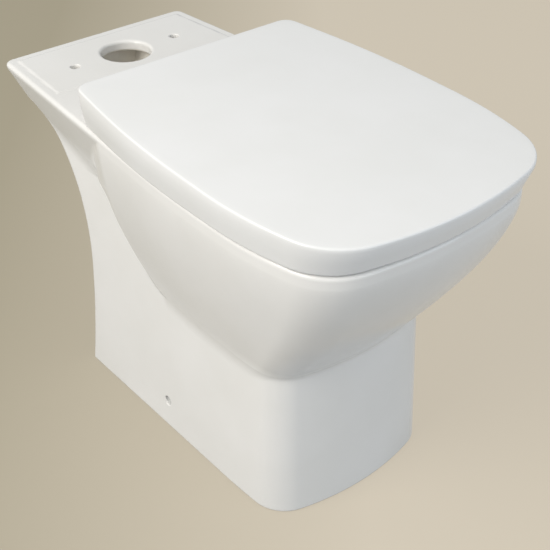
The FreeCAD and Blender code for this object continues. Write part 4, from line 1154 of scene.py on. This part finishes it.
def ring_section():
    """Rings of the seat, from its outer lower edge over the top and back underneath."""
    lip = ((RING_LIP, 0.0), (RING_LIP_BEVEL, RING_LIP_BEVEL), (0.0, RING_LIP))
    rings = [at_level(RING, inset, RING_BOTTOM + rise) for inset, rise in lip]
    for inset, drop in round_edge(RING_EDGE_RADIUS, RING_EDGE_STEPS):
        rings.append(at_level(RING, inset, RING_TOP - drop))
    outside = RING.inset(RING_EDGE_RADIUS).outline()
    inside = RING_HOLE.inset(-RING_HOLE_EDGE_RADIUS).outline()
    for share in RING_TOP_SHARES:
        rings.append(with_height(between(outside, inside, share), RING_TOP - RING_DISH * share ** 2))
    for inset, drop in round_edge(RING_HOLE_EDGE_RADIUS, RING_EDGE_STEPS)[::-1]:
        rings.append(at_level(RING_HOLE, -inset, RING_TOP - RING_DISH - drop))
    rings += [at_level(RING_HOLE, -inset, RING_BOTTOM + rise) for inset, rise in lip[::-1]]
    return rings + rings[:1]


def make_ring():
    """The ring that is sat on, with two arms back to its knuckles."""
    arm_front = RING_REAR_Y - RING_REAR_RADIUS
    arm_top = RING_TOP - RING_EDGE_RADIUS / 2
    arm_bottom = RING_TOP - ARM_THICKNESS
    heel = HINGE_Y - KNUCKLE_RADIUS
    toe = HINGE_Y + RING_ARM_STEP
    middle_radius = (KNUCKLE_RADIUS + SLEEVE_RADIUS) / 2
    outline = [(arm_front, arm_top), (heel - RING_ARM_STEP, arm_top), (heel, arm_top + RING_ARM_RISE)]
    outline += round_about(middle_radius, *RING_ARM_HOLD, RING_ARM_STEPS)
    outline += [(toe, arm_bottom + RING_ARM_RISE), (HINGE_Y, arm_bottom), (arm_front, arm_bottom)]
    arm = bar_rings(RING_KNUCKLE_LOW.x, RING_KNUCKLE_HIGH.x, soft_end(np.array(outline)))
    circle = round_about(KNUCKLE_RADIUS, 0, 360, RING_KNUCKLE_STEPS + 1)[:-1]
    knuckle = bored_bar(RING_KNUCKLE_LOW.x, RING_KNUCKLE_HIGH.x, np.array(circle))
    closed = [ring_section(), knuckle, flip_rings(knuckle)]
    piece = ring_piece("seat", RESIN, closed, [arm, flip_rings(arm)])
    dress(piece, "seat", ("seat_ring",))


def make_side_caps():
    """The two dished caps that sit sunk in the fixing holes of the pedestal, their grey a painted shade of
    the holes.
    """
    radius = (CAP_HIGH.z - CAP_LOW.z) / 2
    face = CAP_HIGH.x
    back = face - CAP_THICKNESS
    profile = [
        (back, 0.0), (back, radius - CAP_BEVEL), (back + CAP_BEVEL, radius),
        (face - CAP_BEVEL, radius), (face, radius - CAP_BEVEL),
    ]
    for angle in quarter_turn(CAP_DISH_STEPS):
        profile.append((face - CAP_DISH * math.sin(angle), (radius - CAP_LIP) * math.cos(angle)))
    rings = []
    for x, reach in profile:
        circle = arc_points((SIDE_HOLE_Y, SIDE_HOLE_Z), reach, 0.0, 2 * math.pi, CAP_STEPS)
        rings.append(np.column_stack([np.full(len(circle), x), circle]))
    piece = ring_piece("side_caps", PAINTED_SHADE_NYLON, [rings, flip_rings(rings)])
    dress(piece, "pan", ("side_screw_caps",))


make_ceramic()
make_lid()
make_ring()
make_side_caps()

SLOT_MATERIALS = {
    "glazed_ceramic": GLAZE, "seat_plastic": RESIN, "chrome": CHROME, "steel": STEEL,
    "pad_rubber": RUBBER, "fixing_plastic": NYLON, "hinge_plastic": ACETAL,
}
for part in frame["record"]["subparts"]:
    node = frame["nodes"][part["node"]]
    node.data.materials.clear()
    node.data.materials.append(SLOT_MATERIALS[part["material_slot"]])

# Stage, light and camera, in metres and radians
CAMERA_TARGET = Vector((0.02055, -0.02143, 0.2565))
CAMERA_DISTANCE = 1.38374
CAMERA_AZIMUTH = math.radians(-39.53)
CAMERA_ELEVATION = math.radians(32.84)
CAMERA_LENS = 75.41
CAMERA_SHIFT = -0.0818
SENSOR_WIDTH = 36.0
LAMP_TARGET = Vector((0.0, 0.0, 0.25))
FLOOR_RADIUS = 9.0
FLOOR_SIDES = 64
FLOOR_DARK = (0.405, 0.364, 0.27)
FLOOR_LIGHT = (0.66, 0.593, 0.483)
FLOOR_SHADE = 0.26
FLOOR_BOUNCE = (0.31, 0.32, 0.33)
WORLD_COLOUR = (0.96, 0.985, 1.0)
WORLD_STRENGTH = 0.53
BACKDROP_STRENGTH = 0.88
FLOOR_FADE = (-0.46, 0.14)
BACKDROP_FADE = (-0.1, 0.1)


def studio_tone(tree, place, start, end):
    """The floor's tone, lighter towards the camera's right between two places along that way."""
    turn = add_node(tree, "Mapping", {
        "Vector": place, "Rotation": (0.0, 0.0, CAMERA_AZIMUTH), "Scale": (end - start, 1.0, 1.0),
        "Location": (start * math.cos(CAMERA_AZIMUTH), start * math.sin(CAMERA_AZIMUTH), 0.0),
    })
    turn.vector_type = "TEXTURE"
    fade = add_node(tree, "TexGradient", {"Vector": turn.outputs["Vector"]})
    return ramp(tree, fade.outputs["Fac"], (0.0, 1.0), (FLOOR_DARK, FLOOR_LIGHT))


def mix(tree, share, first, second):
    """Two shaders mixed by a share."""
    return add_node(tree, "MixShader", {0: share, 1: first.outputs[0], 2: second.outputs[0]})


def make_floor():
    """A plain pale floor, a little lighter towards one side. Bounced light sees a plain grey one."""
    bpy.ops.mesh.primitive_circle_add(vertices=FLOOR_SIDES, radius=FLOOR_RADIUS, fill_type="NGON")
    floor = bpy.context.object
    floor.name = "floor"
    material, tree, shader = node_material("studio_floor")
    tree.nodes.remove(shader)
    place = add_node(tree, "TexCoord", {}).outputs["Object"]
    colour = studio_tone(tree, place, *FLOOR_FADE)
    glow = add_node(tree, "Emission", {"Color": colour})
    matt = add_node(tree, "BsdfDiffuse", {"Color": colour})
    shown = mix(tree, FLOOR_SHADE, glow, matt)
    bounce = add_node(tree, "BsdfDiffuse", {"Color": (*FLOOR_BOUNCE, 1.0)})
    path = add_node(tree, "LightPath", {}).outputs
    seen = add_node(tree, "Math", {0: path["Is Camera Ray"], 1: path["Is Glossy Ray"]})
    seen.operation = "MAXIMUM"
    result = mix(tree, seen.outputs[0], bounce, shown)
    tree.links.new(result.outputs[0], tree.nodes["Material Output"].inputs["Surface"])
    floor.data.materials.append(material)


def make_world():
    """Even light from all sides, and the tone of the far floor where the camera looks past it."""
    world = bpy.data.worlds.new("studio")
    bpy.context.scene.world = world
    world.use_nodes = True
    tree = world.node_tree
    light = tree.nodes["Background"]
    light.inputs["Color"].default_value = (*WORLD_COLOUR, 1.0)
    light.inputs["Strength"].default_value = WORLD_STRENGTH
    place = add_node(tree, "TexCoord", {}).outputs["Generated"]
    tone = studio_tone(tree, place, *BACKDROP_FADE)
    shown = add_node(tree, "Background", {"Color": tone, "Strength": BACKDROP_STRENGTH})
    path = add_node(tree, "LightPath", {}).outputs
    result = mix(tree, path["Is Camera Ray"], light, shown)
    tree.links.new(result.outputs[0], tree.nodes["World Output"].inputs["Surface"])


make_floor()
make_world()


def lamp(name, place, size, watts, colour):
    """A square soft light on the pan."""
    data = bpy.data.lights.new(name, "AREA")
    data.shape = "SQUARE"
    data.size = size
    data.energy = watts
    data.color = colour
    light = bpy.data.objects.new(name, data)
    bpy.context.scene.collection.objects.link(light)
    light.location = place
    light.rotation_euler = (LAMP_TARGET - light.location).to_track_quat("-Z", "Y").to_euler()


lamp("key", place=(-2.0, 0.05, 1.9), size=1.6, watts=52.0, colour=(1.0, 0.965, 0.905))
lamp("fill", place=(0.9, -2.4, 0.9), size=1.8, watts=17.0, colour=(0.80, 0.89, 1.0))

camera_data = bpy.data.cameras.new("camera")
camera = bpy.data.objects.new("camera", camera_data)
bpy.context.scene.collection.objects.link(camera)
back = Vector((
    math.sin(CAMERA_AZIMUTH) * math.cos(CAMERA_ELEVATION),
    -math.cos(CAMERA_AZIMUTH) * math.cos(CAMERA_ELEVATION),
    math.sin(CAMERA_ELEVATION),
))
camera.location = CAMERA_TARGET + back * CAMERA_DISTANCE
camera.rotation_euler = (-back).to_track_quat("-Z", "Y").to_euler()
camera_data.sensor_width = SENSOR_WIDTH
camera_data.lens = CAMERA_LENS
camera_data.shift_y = CAMERA_SHIFT
bpy.context.scene.camera = camera
bpy.context.scene.view_settings.view_transform = "Standard"
